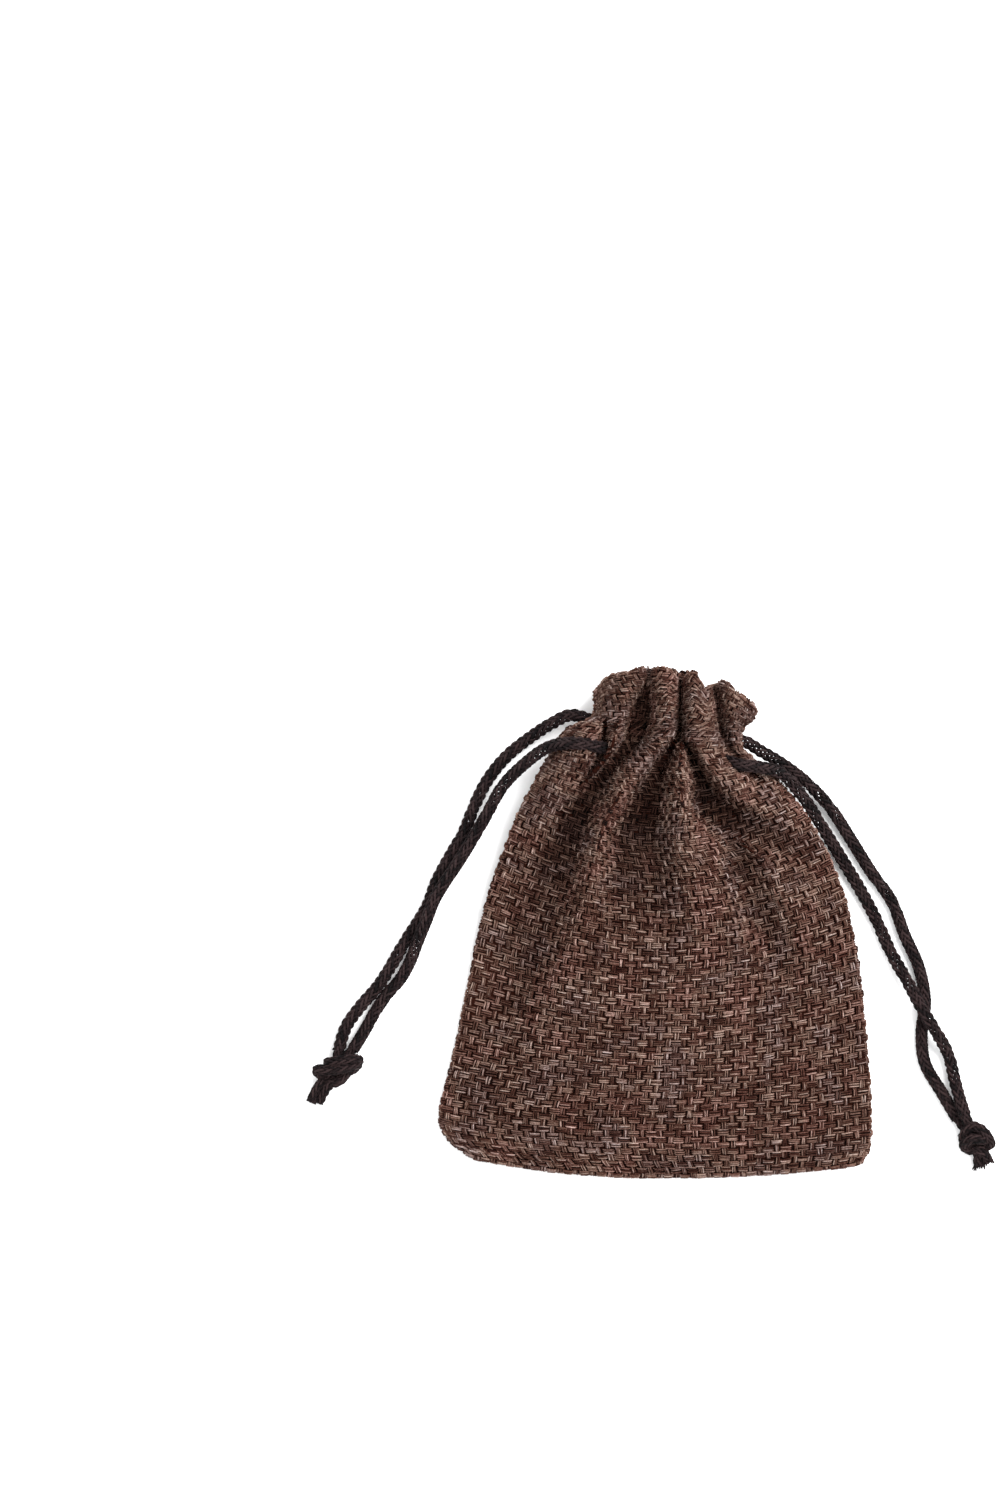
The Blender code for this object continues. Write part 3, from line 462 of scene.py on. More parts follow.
def half_turn(first, last, outward, angles=HALF_TURN):
    """Rows that turn round from one row to another over their outer side."""
    middle, half = (first + last) / 2, (first - last) / 2
    reach = np.linalg.norm(half, axis=-1, keepdims=True)
    return [middle + half * math.cos(a) + outward * reach * math.sin(a) for a in angles]


def facing(surface):
    """Normals of a surface of rows that go up the sack, on the side that faces out of its front."""
    return unit_long(np.cross(np.gradient(surface, axis=1), np.gradient(surface, axis=0)))


Cloth = namedtuple("Cloth", "rows lengths normals")


def cloth_surface():
    """The whole cloth in one: front hem, rim, front, bottom fold, back, rim and back hem."""
    runs = np.linspace(0, RIM_RUN, round(RIM_RUN / RUN_STEP) + 1)
    front, back = face_surfaces(runs)
    front_out = facing(front)
    back_out = -facing(back)
    front = front - CLOTH_DEEP * front_out
    back = back - CLOTH_DEEP * back_out
    hem = runs >= HEM_RUN
    front_hem = (front - HEM_GAP * front_out)[hem]
    back_hem = (back - HEM_GAP * back_out)[hem]
    rise = np.array([0.0, 1.0, 0.0])
    rows = list(front_hem) + half_turn(front_hem[-1], front[-1], rise)
    rows += list(front[::-1]) + half_turn(front[0], back[0], -rise)
    rows += list(back) + half_turn(back[-1], back_hem[-1], rise) + list(back_hem[::-1])
    rows = round_the_seams(np.array(rows))
    turn, bottom = math.pi * HEM_GAP / 2 / (TURN_STEPS + 1), BOTTOM_TURN / (TURN_STEPS + 1)
    hem_steps, face_steps = [runs[1]] * (len(front_hem) - 1), [runs[1]] * (len(runs) - 1)
    steps = (hem_steps + [turn] * (TURN_STEPS + 1) + face_steps + [bottom] * (TURN_STEPS + 1)
             + face_steps + [turn] * (TURN_STEPS + 1) + hem_steps)
    # The rows go down the front, so the outside is on their other side.
    return Cloth(rows, so_far(steps), -facing(rows))


def round_the_seams(rows):
    """Add places at both ends of each row, which turn round the seam halfway to the other face."""
    ends = []
    for edge, inner in ((0, SEAM_LOOK), (-1, -1 - SEAM_LOOK)):
        out = rows[:, edge] - rows[:, inner]
        out = unit_long((out + out[::-1]) * [1.0, 1.0, 0.0])
        angles = [math.pi / 2 * (SEAM_STEPS - k) / SEAM_STEPS for k in range(SEAM_STEPS)]
        turned = half_turn(rows[:, edge], rows[::-1, edge], out, angles)
        ends.append(np.stack(turned if edge == 0 else turned[::-1], axis=1))
    return np.concatenate([ends[0], rows, ends[1]], axis=1)


def on_cloth(cloth, share, length):
    """Places and normals on the cloth, by the part of the way across and the cloth's length."""
    row = np.interp(length, cloth.lengths, np.arange(len(cloth.lengths)))
    last = COLUMNS + 2 * SEAM_STEPS
    across = np.clip(share * COLUMNS + SEAM_STEPS, 0, last)
    low_row = np.clip(np.floor(row).astype(int), 0, len(cloth.rows) - 2)
    low_across = np.clip(np.floor(across).astype(int), 0, last - 1)
    t, s = (row - low_row)[..., None], (across - low_across)[..., None]

    def read(grid):
        low = grid[low_row, low_across] * (1 - s) + grid[low_row, low_across + 1] * s
        high = grid[low_row + 1, low_across] * (1 - s) + grid[low_row + 1, low_across + 1] * s
        return low * (1 - t) + high * t

    return read(cloth.rows), unit_long(read(cloth.normals))


# ---------------------------------------------------------------------------------------
# Node trees


def add(tree, kind, inputs=None, **settings):
    """Add a node: inputs by name or number, from a value or from another node's output."""
    node = tree.nodes.new(kind)
    for name, value in settings.items():
        setattr(node, name, value)
    for key, value in (inputs or {}).items():
        value = value.socket if isinstance(value, Value) else value
        if isinstance(value, bpy.types.NodeSocket):
            tree.links.new(value, node.inputs[key])
        else:
            node.inputs[key].default_value = value
    return node


def math_node(tree, operation, *values):
    return Value(tree, add(tree, "ShaderNodeMath", dict(enumerate(values)), operation=operation).outputs[0])


class Value:
    """A number from a node's output, on which plain arithmetic works by adding math nodes."""

    def __init__(self, tree, socket):
        self.tree = tree
        self.socket = socket

    def math(self, operation, *others):
        return math_node(self.tree, operation, self, *others)

    def __add__(self, other):
        return self.math("ADD", other)

    def __sub__(self, other):
        return self.math("SUBTRACT", other)

    def __rsub__(self, other):
        return math_node(self.tree, "SUBTRACT", other, self)

    def __mul__(self, other):
        return self.math("MULTIPLY", other)

    def __truediv__(self, other):
        return self.math("DIVIDE", other)


def vector_node(tree, operation, *values, scale=None):
    inputs = dict(enumerate(values))
    if scale is not None:
        inputs["Scale"] = scale
    return add(tree, "ShaderNodeVectorMath", inputs, operation=operation).outputs[0]


def geometry_tree(name, *sizes):
    """A new tree with a geometry input and output, a socket for each size, and a finish."""
    tree = bpy.data.node_groups.new(name, "GeometryNodeTree")
    tree.interface.new_socket("Geometry", in_out="OUTPUT", socket_type="NodeSocketGeometry")
    tree.interface.new_socket("Geometry", in_out="INPUT", socket_type="NodeSocketGeometry")
    for size in sizes:
        kind = "NodeSocketInt" if size in WHOLE_SIZES else "NodeSocketFloat"
        tree.interface.new_socket(size, in_out="INPUT", socket_type=kind)
    tree.interface.new_socket("Finish", in_out="INPUT", socket_type="NodeSocketMaterial")
    return tree, tree.nodes.new("NodeGroupInput")


def end_tree(tree, given, geometry):
    """Every tree ends the same way: smooth faces, real geometry, its finish."""
    smooth = add(tree, "GeometryNodeSetShadeSmooth", {"Geometry": geometry})
    real = add(tree, "GeometryNodeRealizeInstances", {"Geometry": smooth.outputs[0]})
    finished = add(tree, "GeometryNodeSetMaterial",
                   {"Geometry": real.outputs[0], "Material": given.outputs["Finish"]})
    add(tree, "NodeGroupOutput", {"Geometry": finished.outputs[0]})


def named(tree, name, kind="FLOAT"):
    return add(tree, "GeometryNodeInputNamedAttribute", {"Name": name}, data_type=kind).outputs[0]


def store(tree, geometry, name, kind, value):
    return add(tree, "GeometryNodeStoreNamedAttribute",
               {"Geometry": geometry, "Name": name, "Value": value}, data_type=kind).outputs[0]


def strand_tree(name, flat):
    """Round lines off into strands: flat ones lie with their flat side on the cloth."""
    tree, given = geometry_tree(name, "Width", "Height", "Sides")
    lines = add(tree, "GeometryNodeMeshToCurve", {"Mesh": given.outputs["Geometry"]}).outputs[0]
    sweep(tree, given, upright(tree, lines, "lift") if flat else lines)
    return tree


def upright(tree, lines, name):
    """Turn lines about themselves so that their upper side faces the named way."""
    return add(tree, "GeometryNodeSetCurveNormal",
               {"Curve": lines, "Normal": named(tree, name, "FLOAT_VECTOR")}, mode="FREE").outputs[0]


def sweep(tree, given, lines):
    """Carry a ring one wide, flattened to the given sizes, along lines and finish the tree."""
    ring = add(tree, "GeometryNodeCurvePrimitiveCircle",
               {"Resolution": given.outputs["Sides"], "Radius": 0.5}).outputs[0]
    ring = store(tree, ring, "around", "FLOAT", add(tree, "GeometryNodeInputIndex").outputs[0])
    size = add(tree, "ShaderNodeCombineXYZ",
               {"X": given.outputs["Height"], "Y": given.outputs["Width"], "Z": 1.0}).outputs[0]
    ring = add(tree, "GeometryNodeTransform", {"Geometry": ring, "Scale": size}).outputs[0]
    swept = add(tree, "GeometryNodeCurveToMesh", {
        "Curve": lines, "Profile Curve": ring, "Scale": named(tree, "fullness"),
        "Fill Caps": True}).outputs[0]
    end_tree(tree, given, swept)


def show(name, data):
    """A new object in the scene, at the origin."""
    made = bpy.data.objects.new(name, data)
    bpy.context.scene.collection.objects.link(made)
    return made


def show_whole(name, bm, finish):
    """A new object of faces made one by one, all in one finish."""
    mesh = bpy.data.meshes.new(name)
    bm.to_mesh(mesh)
    bm.free()
    mesh.materials.append(finish)
    return show(name, mesh)


def run_tree(name, mesh, tree, width, height, sides, **values):
    """Run a tree that makes strands on a mesh of lines: a plain mesh with a bake map comes out."""
    made = show(name, mesh)
    modifier = made.modifiers.new(name, "NODES")
    modifier.node_group = tree
    values = {"Width": width * MM, "Height": height * MM, "Sides": sides, **values}
    for socket in tree.interface.items_tree:
        if socket.in_out == "INPUT" and socket.name in values:
            modifier[socket.identifier] = values[socket.name]
    graph = bpy.context.evaluated_depsgraph_get()
    result = bpy.data.meshes.new_from_object(
        made.evaluated_get(graph), preserve_all_data_layers=True, depsgraph=graph)
    made.modifiers.remove(modifier)
    made.data = result
    result.name = name
    strips_map(result, sides)
    return made


# ---------------------------------------------------------------------------------------
# Yarns


def slow_noise(source, count, points, every):
    """Smooth noise from -1 to 1 along each of many lines: a new value every so many points."""
    marks = int(points / every) + 3
    values = source.uniform(-1, 1, (count, marks))
    places = np.linspace(0, marks - NOISE_END, points)
    low = places.astype(int)
    t = smooth_step(0, 1, places - low)
    return values[:, low] * (1 - t) + values[:, low + 1] * t


def lines_mesh(name, places, **attributes):
    """Many lines of as many points, as a mesh of edges with a value or a vector at each point."""
    count, points = places.shape[:2]
    mesh = bpy.data.meshes.new(name)
    mesh.vertices.add(count * points)
    mesh.vertices.foreach_set("co", (places.reshape(-1, 3) * MM - [0, ORIGIN_UP * MM, 0]).ravel())
    first = (np.arange(count)[:, None] * points + np.arange(points - 1)[None, :]).ravel()
    mesh.edges.add(len(first))
    mesh.edges.foreach_set("vertices", np.stack([first, first + 1], axis=1).ravel())
    for key, values in attributes.items():
        vector = values.ndim == 3
        layer = mesh.attributes.new(key, "FLOAT_VECTOR" if vector else "FLOAT", "POINT")
        layer.data.foreach_set("vector" if vector else "value", np.ascontiguousarray(values).ravel())
    mesh.update()
    return mesh


def read_all(items, name, kind=np.int64):
    """One value of each item, in their order."""
    values = np.zeros(len(items), dtype=kind)
    items.foreach_get(name, values)
    return values


def strips_map(mesh, sides):
    """A bake map: each strand unrolled as a strip of its own, side by side."""
    corners = read_all(mesh.loops, "vertex_index")
    starts, sizes = (read_all(mesh.polygons, name) for name in ("loop_start", "loop_total"))
    strand, along, around = (
        read_all(mesh.attributes[key].data, "value", float)[corners] for key in ("strand", "along", "around"))
    face = np.repeat(np.arange(len(sizes)), sizes)
    reach = np.maximum.reduceat(around, starts)[face] - np.minimum.reduceat(around, starts)[face]
    # A side's four-cornered face that closes the ring ends at its last place, not at its first.
    around = np.where((reach > 1.5) & (around < 0.5) & (sizes[face] == 4), sides, around)
    u = (strand + STRIP_MARGIN + (1 - 2 * STRIP_MARGIN) * around / sides) / (strand.max() + 1)
    v = END_MARGIN + (1 - 2 * END_MARGIN) * (along - along.min()) / (along.max() - along.min())
    layer = mesh.uv_layers.new(name="OFBake")
    layer.data.foreach_set("uv", np.stack([u, v], axis=1).ravel())
    turn = mesh.attributes.new("turn", "FLOAT", "CORNER")
    turn.data.foreach_set("value", around / sides)
    for key in ("lift", "fullness", "around", "out", "travel"):
        if key in mesh.attributes:
            mesh.attributes.remove(mesh.attributes[key])


def painted_fold_shade_amount(x, up, front):
    """How far inside a deep fold each place lies, from 0 to 1: how much painted shade its yarns get."""
    drawn = smooth_step(DRAWN_FROM, DRAWN_TO, up)
    depth = np.where(front, fold_field(FRONT_FOLDS, x, up, drawn), fold_field(BACK_FOLDS, x, up, drawn))
    return hollow(depth)


def yarn_lines(cloth, unit, share, length, over, seed, wander):
    """Lines on the cloth that go over and under, each a little off its place and of its own size."""
    source = np.random.default_rng(seed)
    count, points = share.shape
    together = slow_noise(source, unit.max() + 1, points, STRAY_POINTS[0])[unit]
    stray = together + STRAND_WANDER * slow_noise(source, count, points, STRAY_POINTS[1])
    step = WANDER_STEP * source.uniform(-1, 1, share.shape)
    # A warp yarn strays across the cloth and a weft yarn along it.
    share = share + wander[0] * stray + step / FLAT_WIDTH * (wander[0] > 0)
    length = length + wander[1] * stray + step * (wander[1] > 0)
    places, lift = on_cloth(cloth, share, length)
    # painted shade: how far each point lies inside a deep fold
    inside = painted_fold_shade_amount(places[..., 0], places[..., 1], length < cloth.lengths[-1] / 2)
    height = YARN_RISE * over + UNEVEN * source.uniform(-1, 1, share.shape)
    fullness = 1.0 + THICK_SLOW * slow_noise(source, count, points, THICK_POINTS)
    fullness = fullness + THICK_FAST * source.uniform(-1, 1, share.shape)
    slub = np.clip(slow_noise(source, count, points, SLUB_POINTS) - SLUB_FROM, 0, 1)
    own = np.repeat(source.uniform(0, 1, (count, points // 2 + 1)), 2, axis=1)[:, :points]
    fullness = fullness + SLUB_MORE * slub
    places = places + lift * height[..., None]
    places[..., 2] = np.maximum(places[..., 2], WEFT_HIGH / 2 * fullness)
    return {"places": places, "lift": lift, "fullness": fullness, "rise": over, "shade": own,
            "hollow": inside}


def woven(name, cloth, strands, unit, share, length, over, along, wander, seed, size, finish):
    """One set of yarns as a piece: rows of strands with their places on the cloth."""
    lines = yarn_lines(cloth, unit - unit.min(), share, length, over, seed, wander)
    number = np.arange(len(share))[:, None] * np.ones(share.shape[1])[None, :]
    mesh = lines_mesh(name, along=along + SEED_SPACE * seed, strand=number, **lines)
    return run_tree(name, mesh, strands, *size, YARN_SIDES, Finish=finish)


def crossings(unit, count, first, over, under):
    """Two places at each of many crossings, and whether the yarn is over (1) or under (-1) there."""
    crossing = np.arange(count)[None, :]
    above = (unit[:, None] + crossing + first) % 2 == 0
    reach = np.where(above, over, under)[..., None] * [-1.0, 1.0]
    places = crossing[..., None] + 0.5 + reach
    shape = (len(unit), 2 * count)
    return places.reshape(shape), np.repeat(np.where(above, 1.0, -1.0), 2, axis=1)


def within_yarn(apart):
    """Where a yarn's strands lie side by side, about its middle."""
    return np.linspace(-apart / 2, apart / 2, YARN_STRANDS)


def warp_yarns(cloth, strands, finish):
    """The yarns that run up the front and down the back, in two halves, with the seams' own."""
    units = int(cloth.lengths[-1] / WEFT_PITCH)
    half = WARP_UNITS // 2
    made = []
    for side, first in (("left", 0), ("right", half)):
        unit = np.repeat(np.arange(first, first + half), YARN_STRANDS)
        place = (unit + 0.5 + np.tile(within_yarn(WARP_APART), half)) / WARP_UNITS
        seam = np.array(SEAM_YARNS) / COLUMNS
        place = np.concatenate((place, seam if first == 0 else 1 - seam))
        unit = np.concatenate((unit, [-1, -1] if first == 0 else [WARP_UNITS, WARP_UNITS]))
        beats, over = crossings(unit, units, 0, WARP_OVER, WARP_UNDER)
        length = beats * WEFT_PITCH
        share = place[:, None] * np.ones_like(beats)
        made.append(woven(
            f"sack_warp_{side}", cloth, strands, unit, share, length, over, length,
            (WARP_WANDER / FLAT_WIDTH, 0.0), WARP_SEED + first, (WARP_WIDE, WARP_HIGH), finish))
    return made


def weft_yarns(cloth, strands, finish):
    """The yarns that run across, on the front and on the back, with their ends round the seams."""
    units = int(cloth.lengths[-1] / WEFT_PITCH)
    round_seam = SEAM_STEPS / COLUMNS
    made = []
    for face, first, last in (("front", 0, units // 2), ("back", units // 2, units)):
        unit = np.repeat(np.arange(first, last), YARN_STRANDS)
        within = np.tile(within_yarn(WEFT_APART), last - first)
        beats, over = crossings(unit, WARP_UNITS, 1, WEFT_OVER, WEFT_UNDER)
        ones = np.ones((len(unit), 1))
        share = np.hstack((ones * [-round_seam, -round_seam / 2], np.clip(beats / WARP_UNITS, 0, 1),
                           ones * [1 + round_seam / 2, 1 + round_seam]))
        over = np.hstack((ones * [SEAM_RISE, SEAM_RISE], over, ones * [SEAM_RISE, SEAM_RISE]))
        length = ((unit + 0.5 + within) * WEFT_PITCH)[:, None] * np.ones_like(share)
        made.append(woven(
            f"sack_weft_{face}", cloth, strands, unit, share, length, over, share * FLAT_WIDTH,
            (0.0, WEFT_WANDER), WEFT_SEED + first, (WEFT_WIDE, WEFT_HIGH), finish))
    return made


def shade_sheet_under_yarns(cloth, finish):
    """The thin dark sheet of painted shade between the yarns: one closed sheet with the cloth's own shape."""
    rows = np.linspace(0, len(cloth.rows) - 1, SHADE_SHEET_ROWS).round().astype(int)
    across = np.linspace(0, COLUMNS + 2 * SEAM_STEPS, SHADE_SHEET_ACROSS).round().astype(int)
    middle = cloth.rows[rows][:, across]
    lift = cloth.normals[rows][:, across]
    bm = bmesh.new()
    layers = []
    for deep in (SHADE_SHEET_DEEP, SHADE_SHEET_DEEP + SHADE_SHEET_THICK):
        places = middle - deep * lift
        places[..., 2] = np.maximum(places[..., 2], SHADE_SHEET_LOW)
        layers.append([[bm.verts.new(at(*place)) for place in row] for row in places])
    top, under = layers
    for grid, flip in ((top, False), (under, True)):
        for low, high in zip(grid, grid[1:]):
            for k in range(len(low) - 1):
                corners = (low[k], high[k], high[k + 1], low[k + 1])
                bm.faces.new(corners[::-1] if flip else corners)
    edge = ([(row[0], deep[0]) for row, deep in zip(top, under)]
            + list(zip(top[-1], under[-1]))[1:]
            + [(row[-1], deep[-1]) for row, deep in zip(top, under)][::-1][1:]
            + list(zip(top[0], under[0]))[::-1][1:])
    for (a, b), (c, d) in zip(edge, edge[1:]):
        bm.faces.new((a, b, d, c))
    bmesh.ops.recalc_face_normals(bm, faces=bm.faces)
    for face in bm.faces:
        face.smooth = True
    return show_whole("sack_shade_sheet", bm, finish)


# ---------------------------------------------------------------------------------------
# Drawcords


def smooth_route(points, step):
    """Points a step apart on a smooth curve through a given route."""
    route = np.array(points, dtype=float)
    knots = so_far(np.linalg.norm(np.diff(route, axis=0), axis=1))
    where = np.linspace(0, knots[-1], max(2, round(knots[-1] / step)) + 1)
    spans = np.diff(knots)[:, None]
    slopes = np.diff(route, axis=0) / spans
    inside = (slopes[:-1] * spans[1:] + slopes[1:] * spans[:-1]) / (spans[:-1] + spans[1:])
    tangents = np.concatenate((slopes[:1], inside, slopes[-1:]))
    return between(knots, route, tangents, where)


def braid_tree():
    """Braid strands round lines: half wind one way, half the other, over two and under two."""
    tree, given = geometry_tree(
        "drawcord braid", "Strands", "Turn", "Radius", "Rise", "Width", "Height", "Sides")
    strands = given.outputs["Strands"]
    middle = add(tree, "GeometryNodeMeshToCurve", {"Mesh": given.outputs["Geometry"]}).outputs[0]
    both_ways = math_node(tree, "MULTIPLY", strands, 2)
    copies = add(tree, "GeometryNodeDuplicateElements",
                 {"Geometry": middle, "Amount": both_ways}, domain="SPLINE")
    lines = store(tree, copies.outputs[0], "strand", "FLOAT", copies.outputs[1])
    index = Value(tree, named(tree, "strand"))
    way = (index + 0.5).math("GREATER_THAN", strands) * 2 - 1
    turned = Value(tree, named(tree, "travel")) * math.tau / given.outputs["Turn"]
    angle = turned * way + index * math.tau / strands
    # Two strands cross each time that both have gone half a strand's space round. The quarter
    # keeps them equally far apart at every crossing.
    phase = turned * strands * 0.5 * way + (index + 0.25) * math.pi
    reach = phase.math("SINE") * way * given.outputs["Rise"] + given.outputs["Radius"]
    tangent = add(tree, "GeometryNodeInputTangent").outputs[0]
    lift = named(tree, "lift", "FLOAT_VECTOR")
    side = vector_node(tree, "NORMALIZE", vector_node(tree, "CROSS_PRODUCT", tangent, lift))
    out = vector_node(
        tree, "ADD", vector_node(tree, "SCALE", side, scale=angle.math("COSINE")),
        vector_node(tree, "SCALE", lift, scale=angle.math("SINE")))
    lines = store(tree, lines, "out", "FLOAT_VECTOR", out)
    thin = (index + 0.5).math("MODULO", THIN_EVERY).math("LESS_THAN", 1)
    thinner = (1 - Value(tree, named(tree, "fullness"))) * thin
    lines = store(tree, lines, "fullness", "FLOAT", 1 - thinner)
    offset = vector_node(tree, "SCALE", named(tree, "out", "FLOAT_VECTOR"), scale=reach)
    moved = add(tree, "GeometryNodeSetPosition", {"Geometry": lines, "Offset": offset}).outputs[0]
    sweep(tree, given, upright(tree, moved, "out"))
    return tree


def core_lines(name, route, open_between=()):
    """A cord's middle line as a mesh of edges, with its length so far and a steady side. The
    braid stands open between the given heights on the way."""
    travel = so_far(np.linalg.norm(np.diff(route, axis=0), axis=1))
    lift = np.zeros_like(route)
    side = np.array([0.0, 0.0, 1.0])
    for k, direction in enumerate(unit_long(np.gradient(route, axis=0))):
        side = side - direction * side.dot(direction)
        side = side / np.linalg.norm(side)
        lift[k] = side
    fullness = np.ones(len(route))
    up = route[:, 1]
    for high, low in open_between:
        opened = smooth_step(low - OPEN_FADE, low, up) - smooth_step(high, high + OPEN_FADE, up)
        fullness -= BRAID_OPEN * opened
    mesh = lines_mesh(name, route[None], lift=lift[None], travel=travel[None] * MM,
                      fullness=fullness[None], along=travel[None], strand=np.zeros((1, len(route))))
    return mesh, travel[-1]


def braided(name, route, tree, finish, squeeze, open_between=()):
    """One braided cord along a route, as a plain mesh, and its length."""
    mesh, length = core_lines(name, route, open_between)
    made = run_tree(
        name, mesh, tree, BRAID_WIDE * squeeze, BRAID_HIGH * squeeze, BRAID_SIDES, Finish=finish,
        Strands=BRAID_STRANDS, Turn=BRAID_TURN * MM, Radius=BRAID_RADIUS * squeeze * MM,
        Rise=BRAID_RISE * squeeze * MM)
    return made, length


def frayed(name, route, tree, finish, seed):
    """Loose ends that spread out of a cord's cut end."""
    source = np.random.default_rng(seed)
    ahead = route[-1] - route[-1 - FRAY_LOOK]
    ahead = ahead / np.linalg.norm(ahead)
    across = np.cross(ahead, [0.0, 0.0, 1.0])
    up = np.cross(across, ahead)
    reach = np.linspace(0, 1, FRAY_POINTS)[None, :, None]
    angle = source.uniform(0, math.tau, FRAY_COUNT)[:, None, None]
    out = np.cos(angle) * across + np.sin(angle) * up
    length = source.uniform(FRAY_SHORT, 1.0, FRAY_COUNT)[:, None, None] * FRAY_LENGTH
    spread = source.uniform(0.0, 1.0, FRAY_COUNT)[:, None, None]
    start = route[-1] - ahead * FRAY_BACK + out * FRAY_OUT
    places = start + ahead * (FRAY_INSIDE + length) * reach + out * spread * FRAY_SPREAD * reach ** 2
    places[..., 2] = np.maximum(places[..., 2], FRAY_THICK * FRAY_LOW)
    ones = np.ones((FRAY_COUNT, FRAY_POINTS))
    mesh = lines_mesh(
        name, places, fullness=ones * np.linspace(1.0, FRAY_TIP, FRAY_POINTS)[None, :],
        along=reach[..., 0] * length[..., 0], strand=np.arange(FRAY_COUNT)[:, None] * ones)
    return run_tree(name, mesh, tree, FRAY_THICK, FRAY_THICK, BRAID_SIDES, Finish=finish)


# ---------------------------------------------------------------------------------------
# Finishes


def attribute(tree, name):
    return Value(tree, add(tree, "ShaderNodeAttribute", attribute_name=name).outputs["Fac"])


def noise(tree, place, scale, detail, roughness, dimensions="3D"):
    return Value(tree, add(tree, "ShaderNodeTexNoise", {
        "Vector": place, "Scale": scale, "Detail": detail, "Roughness": roughness},
        noise_dimensions=dimensions).outputs[0])


def between_limits(tree, value, limits, low):
    """From low to 1 while the value goes from one limit to the other."""
    return Value(tree, add(tree, "ShaderNodeMapRange", {
        "Value": value, "From Min": limits[0], "From Max": limits[1], "To Min": low,
        "To Max": 1.0}).outputs[0])


def strand_group():
    """What all strands share: a number for each strand, patches along it, and its twist."""
    tree = bpy.data.node_groups.new("strand marks", "ShaderNodeTree")
    for way, labels in (("INPUT", ("Patch", "Twist")), ("OUTPUT", ("Own", "Patches", "Fibres"))):
        for label in labels:
            tree.interface.new_socket(label, in_out=way, socket_type="NodeSocketFloat")
    given = tree.nodes.new("NodeGroupInput")
    along = attribute(tree, "along")
    number = attribute(tree, "strand") * OWN_STEP
    own = add(tree, "ShaderNodeTexWhiteNoise", {"W": number}, noise_dimensions="1D").outputs[0]
    place = add(tree, "ShaderNodeCombineXYZ", {
        "X": along * given.outputs["Patch"], "Y": number * PATCH_STEP}).outputs[0]
    winding = (along * given.outputs["Twist"] + attribute(tree, "turn")) * (math.tau * RIDGES)
    add(tree, "NodeGroupOutput", {
        "Own": own, "Patches": noise(tree, place, *PATCH_NOISE, "2D"), "Fibres": winding.math("SINE")})
    return tree


def ramp(tree, factor, stops):
    node = add(tree, "ShaderNodeValToRGB", {"Fac": factor})
    while len(node.color_ramp.elements) < len(stops):
        node.color_ramp.elements.new(0.5)
    for element, (position, colour) in zip(node.color_ramp.elements, stops):
        element.position = position
        element.color = (*colour, 1.0)
    return node.outputs[0]


def new_finish(name, roughness, specular):
    finish = bpy.data.materials.new(name)
    finish.use_nodes = True
    shader = finish.node_tree.nodes["Principled BSDF"]
    shader.inputs["Roughness"].default_value = roughness
    shader.inputs["Specular IOR Level"].default_value = specular
    return finish, finish.node_tree, shader


def bump(tree, shader, height, strength, tall):
    normal = add(tree, "ShaderNodeBump", {"Height": height, "Strength": strength, "Distance": tall * MM})
    tree.links.new(normal.outputs[0], shader.inputs["Normal"])


def burlap_finish(marks):
    """Strands of many browns: each its own, with patches along it and across the cloth."""
    finish, tree, shader = new_finish("burlap", *BURLAP_SURFACE)
    group = add(tree, "ShaderNodeGroup", BURLAP_MARKS, node_tree=marks)
    place = add(tree, "ShaderNodeTexCoord").outputs["Object"]
    parts = {
        "grain": noise(tree, place, *GRAIN), "own": Value(tree, group.outputs["Own"]),
        "shade": attribute(tree, "shade"), "patches": Value(tree, group.outputs["Patches"]),
        "cloudy": noise(tree, place, *CLOUDS)}
    factor = NOISE_MIDDLE
    for name, gain in BURLAP_GAINS.items():
        factor = (parts[name] - NOISE_MIDDLE) * gain + factor
    hue = noise(tree, vector_node(tree, "ADD", place, TINTS_AWAY), *TINTS)
    colour = vector_node(
        tree, "MULTIPLY", ramp(tree, factor, BURLAP_COLOURS), ramp(tree, hue, BURLAP_TINTS))
    # painted light and shade: a strand is coloured darker where it dips under another and on its flanks, and
    # redder where darker
    flank = (attribute(tree, "turn") * 2 - 1).math("ABSOLUTE")
    light = (between_limits(tree, attribute(tree, "rise"), RISE_PAINTED_SHADE, DIP_PAINTED_LOW)
             * between_limits(tree, flank, FLANK_PAINTED_LIGHT, FLANK_PAINTED_LOW))
    redder = add(tree, "ShaderNodeCombineXYZ", {
        key: light.math("POWER", power) for key, power in zip("XYZ", PAINTED_SHADE_POWERS)}).outputs[0]
    # painted shade: the yarns are coloured darker deep inside the folds
    painted_fold_shade = vector_node(tree, "SUBTRACT", (1.0, 1.0, 1.0), vector_node(
        tree, "SCALE", PAINTED_FOLD_SHADE, scale=attribute(tree, "hollow")))
    dimmed = vector_node(tree, "MULTIPLY", vector_node(tree, "MULTIPLY", colour, redder), painted_fold_shade)
    tree.links.new(dimmed, shader.inputs["Base Color"])
    bump(tree, shader, group.outputs["Fibres"], *BURLAP_BUMP)
    return finish


def cord_finish(marks):
    finish, tree, shader = new_finish("braid", *CORD_SURFACE)
    group = add(tree, "ShaderNodeGroup", CORD_MARKS, node_tree=marks)
    own, patches = (Value(tree, group.outputs[name]) for name in ("Own", "Patches"))
    factor = own * CORD_GAINS[0] + patches * CORD_GAINS[1]
    tree.links.new(ramp(tree, factor, CORD_COLOURS), shader.inputs["Base Color"])
    bump(tree, shader, group.outputs["Fibres"], *CORD_BUMP)
    return finish


def plain_finish(name, colour, roughness):
    finish, _, shader = new_finish(name, roughness, PLAIN_SPECULAR)
    shader.inputs["Base Color"].default_value = (*colour, 1.0)
    return finish


# ---------------------------------------------------------------------------------------
# Surroundings


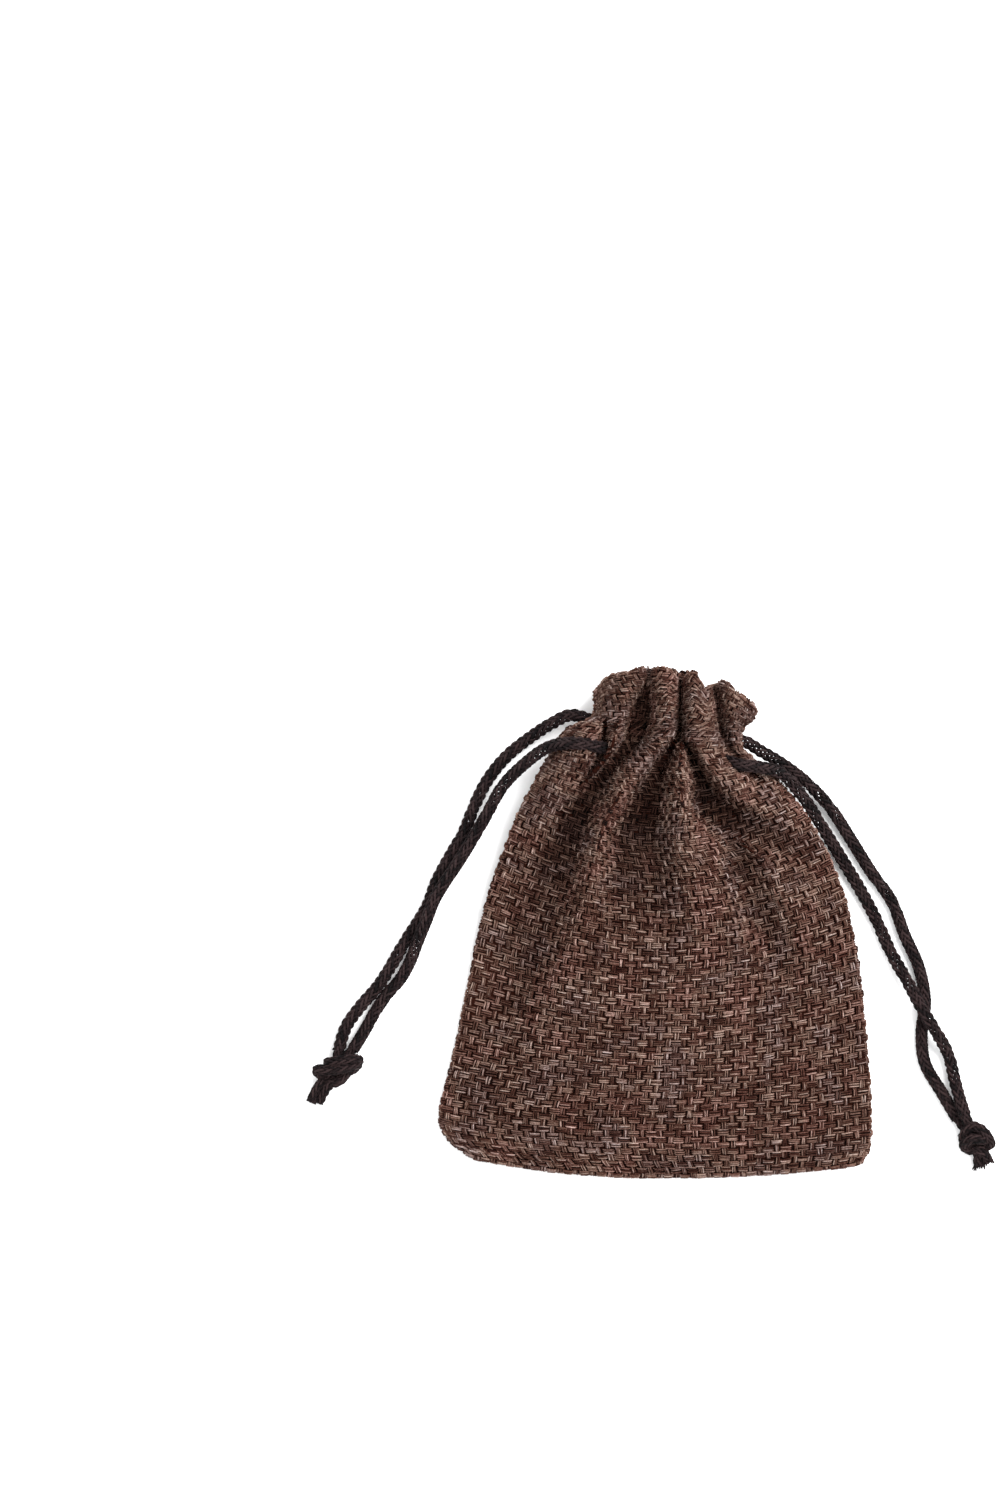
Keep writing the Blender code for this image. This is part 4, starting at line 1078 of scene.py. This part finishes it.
def set_camera():
    data = bpy.data.cameras.new("camera")
    data.lens = SENSOR * VIEW_AWAY / VIEW_TALL
    data.sensor_width = SENSOR
    camera = show("camera", data)
    camera.location = at(VIEW_X, VIEW_UP, VIEW_AWAY)
    bpy.context.scene.camera = camera


def set_floor(finish):
    bm = bmesh.new()
    bmesh.ops.create_grid(bm, x_segments=1, y_segments=1, size=FLOOR_HALF * MM)
    show_whole("floor", bm, finish)


def set_lights():
    world = bpy.data.worlds.new("soft light all round")
    world.use_nodes = True
    world.node_tree.nodes["Background"].inputs["Color"].default_value = (1.0, 1.0, 1.0, 1.0)
    world.node_tree.nodes["Background"].inputs["Strength"].default_value = WORLD_STRENGTH
    bpy.context.scene.world = world
    data = bpy.data.lights.new("key", "AREA")
    data.shape = "SQUARE"
    data.size = KEY_SIZE * MM
    data.energy = KEY_POWER
    key = show("key", data)
    key.location = [value * MM for value in KEY_PLACE]
    away = np.array(KEY_PLACE) / np.linalg.norm(KEY_PLACE)
    key.rotation_euler = (math.acos(away[2]), 0.0, math.atan2(away[1], away[0]) + math.pi / 2)
    bpy.context.scene.view_settings.view_transform = "Standard"


# ---------------------------------------------------------------------------------------
# The whole


def build_cloth(marks):
    finish = burlap_finish(marks)
    dark = plain_finish("burlap ground", SHADE_SHEET_COLOUR, SHADE_SHEET_ROUGH)
    cloth = cloth_surface()
    shade_sheet = shade_sheet_under_yarns(cloth, dark)
    strands = strand_tree("burlap strands", flat=True)
    yarns = warp_yarns(cloth, strands, finish) + weft_yarns(cloth, strands, finish)
    for piece in [shade_sheet] + yarns:
        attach(piece, "root")
    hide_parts("sack_cloth")
    cloth.lengths[-1] * MM


def build_cord(side, strands, knot_routes, fray, finish, trees):
    """One drawcord: its two free strands, and the knot that ties them."""
    braid, fibres = trees
    knot_pieces = []
    for k, points in enumerate(knot_routes):
        route = smooth_route(points, BRAID_STEP)
        piece, _ = braided(f"knot_{side}_{k}", route, braid, finish, KNOT_SQUEEZE)
        name = f"knot_{side}_core_{k}"
        core, _ = core_lines(name, route)
        knot_pieces += [
            piece, run_tree(name, core, fibres, KNOT_CORE, KNOT_CORE, CORE_SIDES, Finish=finish)]
        if fray:
            knot_pieces.append(frayed(f"knot_{side}_fray_{k}", route, fibres, finish, FRAY_SEED + k))
    for piece in knot_pieces:
        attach(piece, "root")
        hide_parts(f"knot_{side}")
    for label, points in strands.items():
        route = smooth_route(points, BRAID_STEP)
        piece, length = braided(
            f"drawcord_{side}_{label}", route, braid, finish, 1.0, OPEN_BRAID[side, label])
        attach(piece, "root")
        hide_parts(f"drawcord_{side}")
        at(*points[1])
        [at(*place) for place in route[::PATH_EVERY]]


set_camera()
marks = strand_group()
cord_look = cord_finish(marks)
trees = (braid_tree(), strand_tree("loose fibres", flat=False))
build_cord("left", {"front": LEFT_FRONT, "back": LEFT_BACK}, LEFT_KNOT, False, cord_look, trees)
build_cord("right", {"front": RIGHT_FRONT, "back": RIGHT_BACK}, RIGHT_KNOT, True, cord_look, trees)
build_cloth(marks)
set_floor(plain_finish("floor", FLOOR_COLOUR, FLOOR_ROUGH))
set_lights()
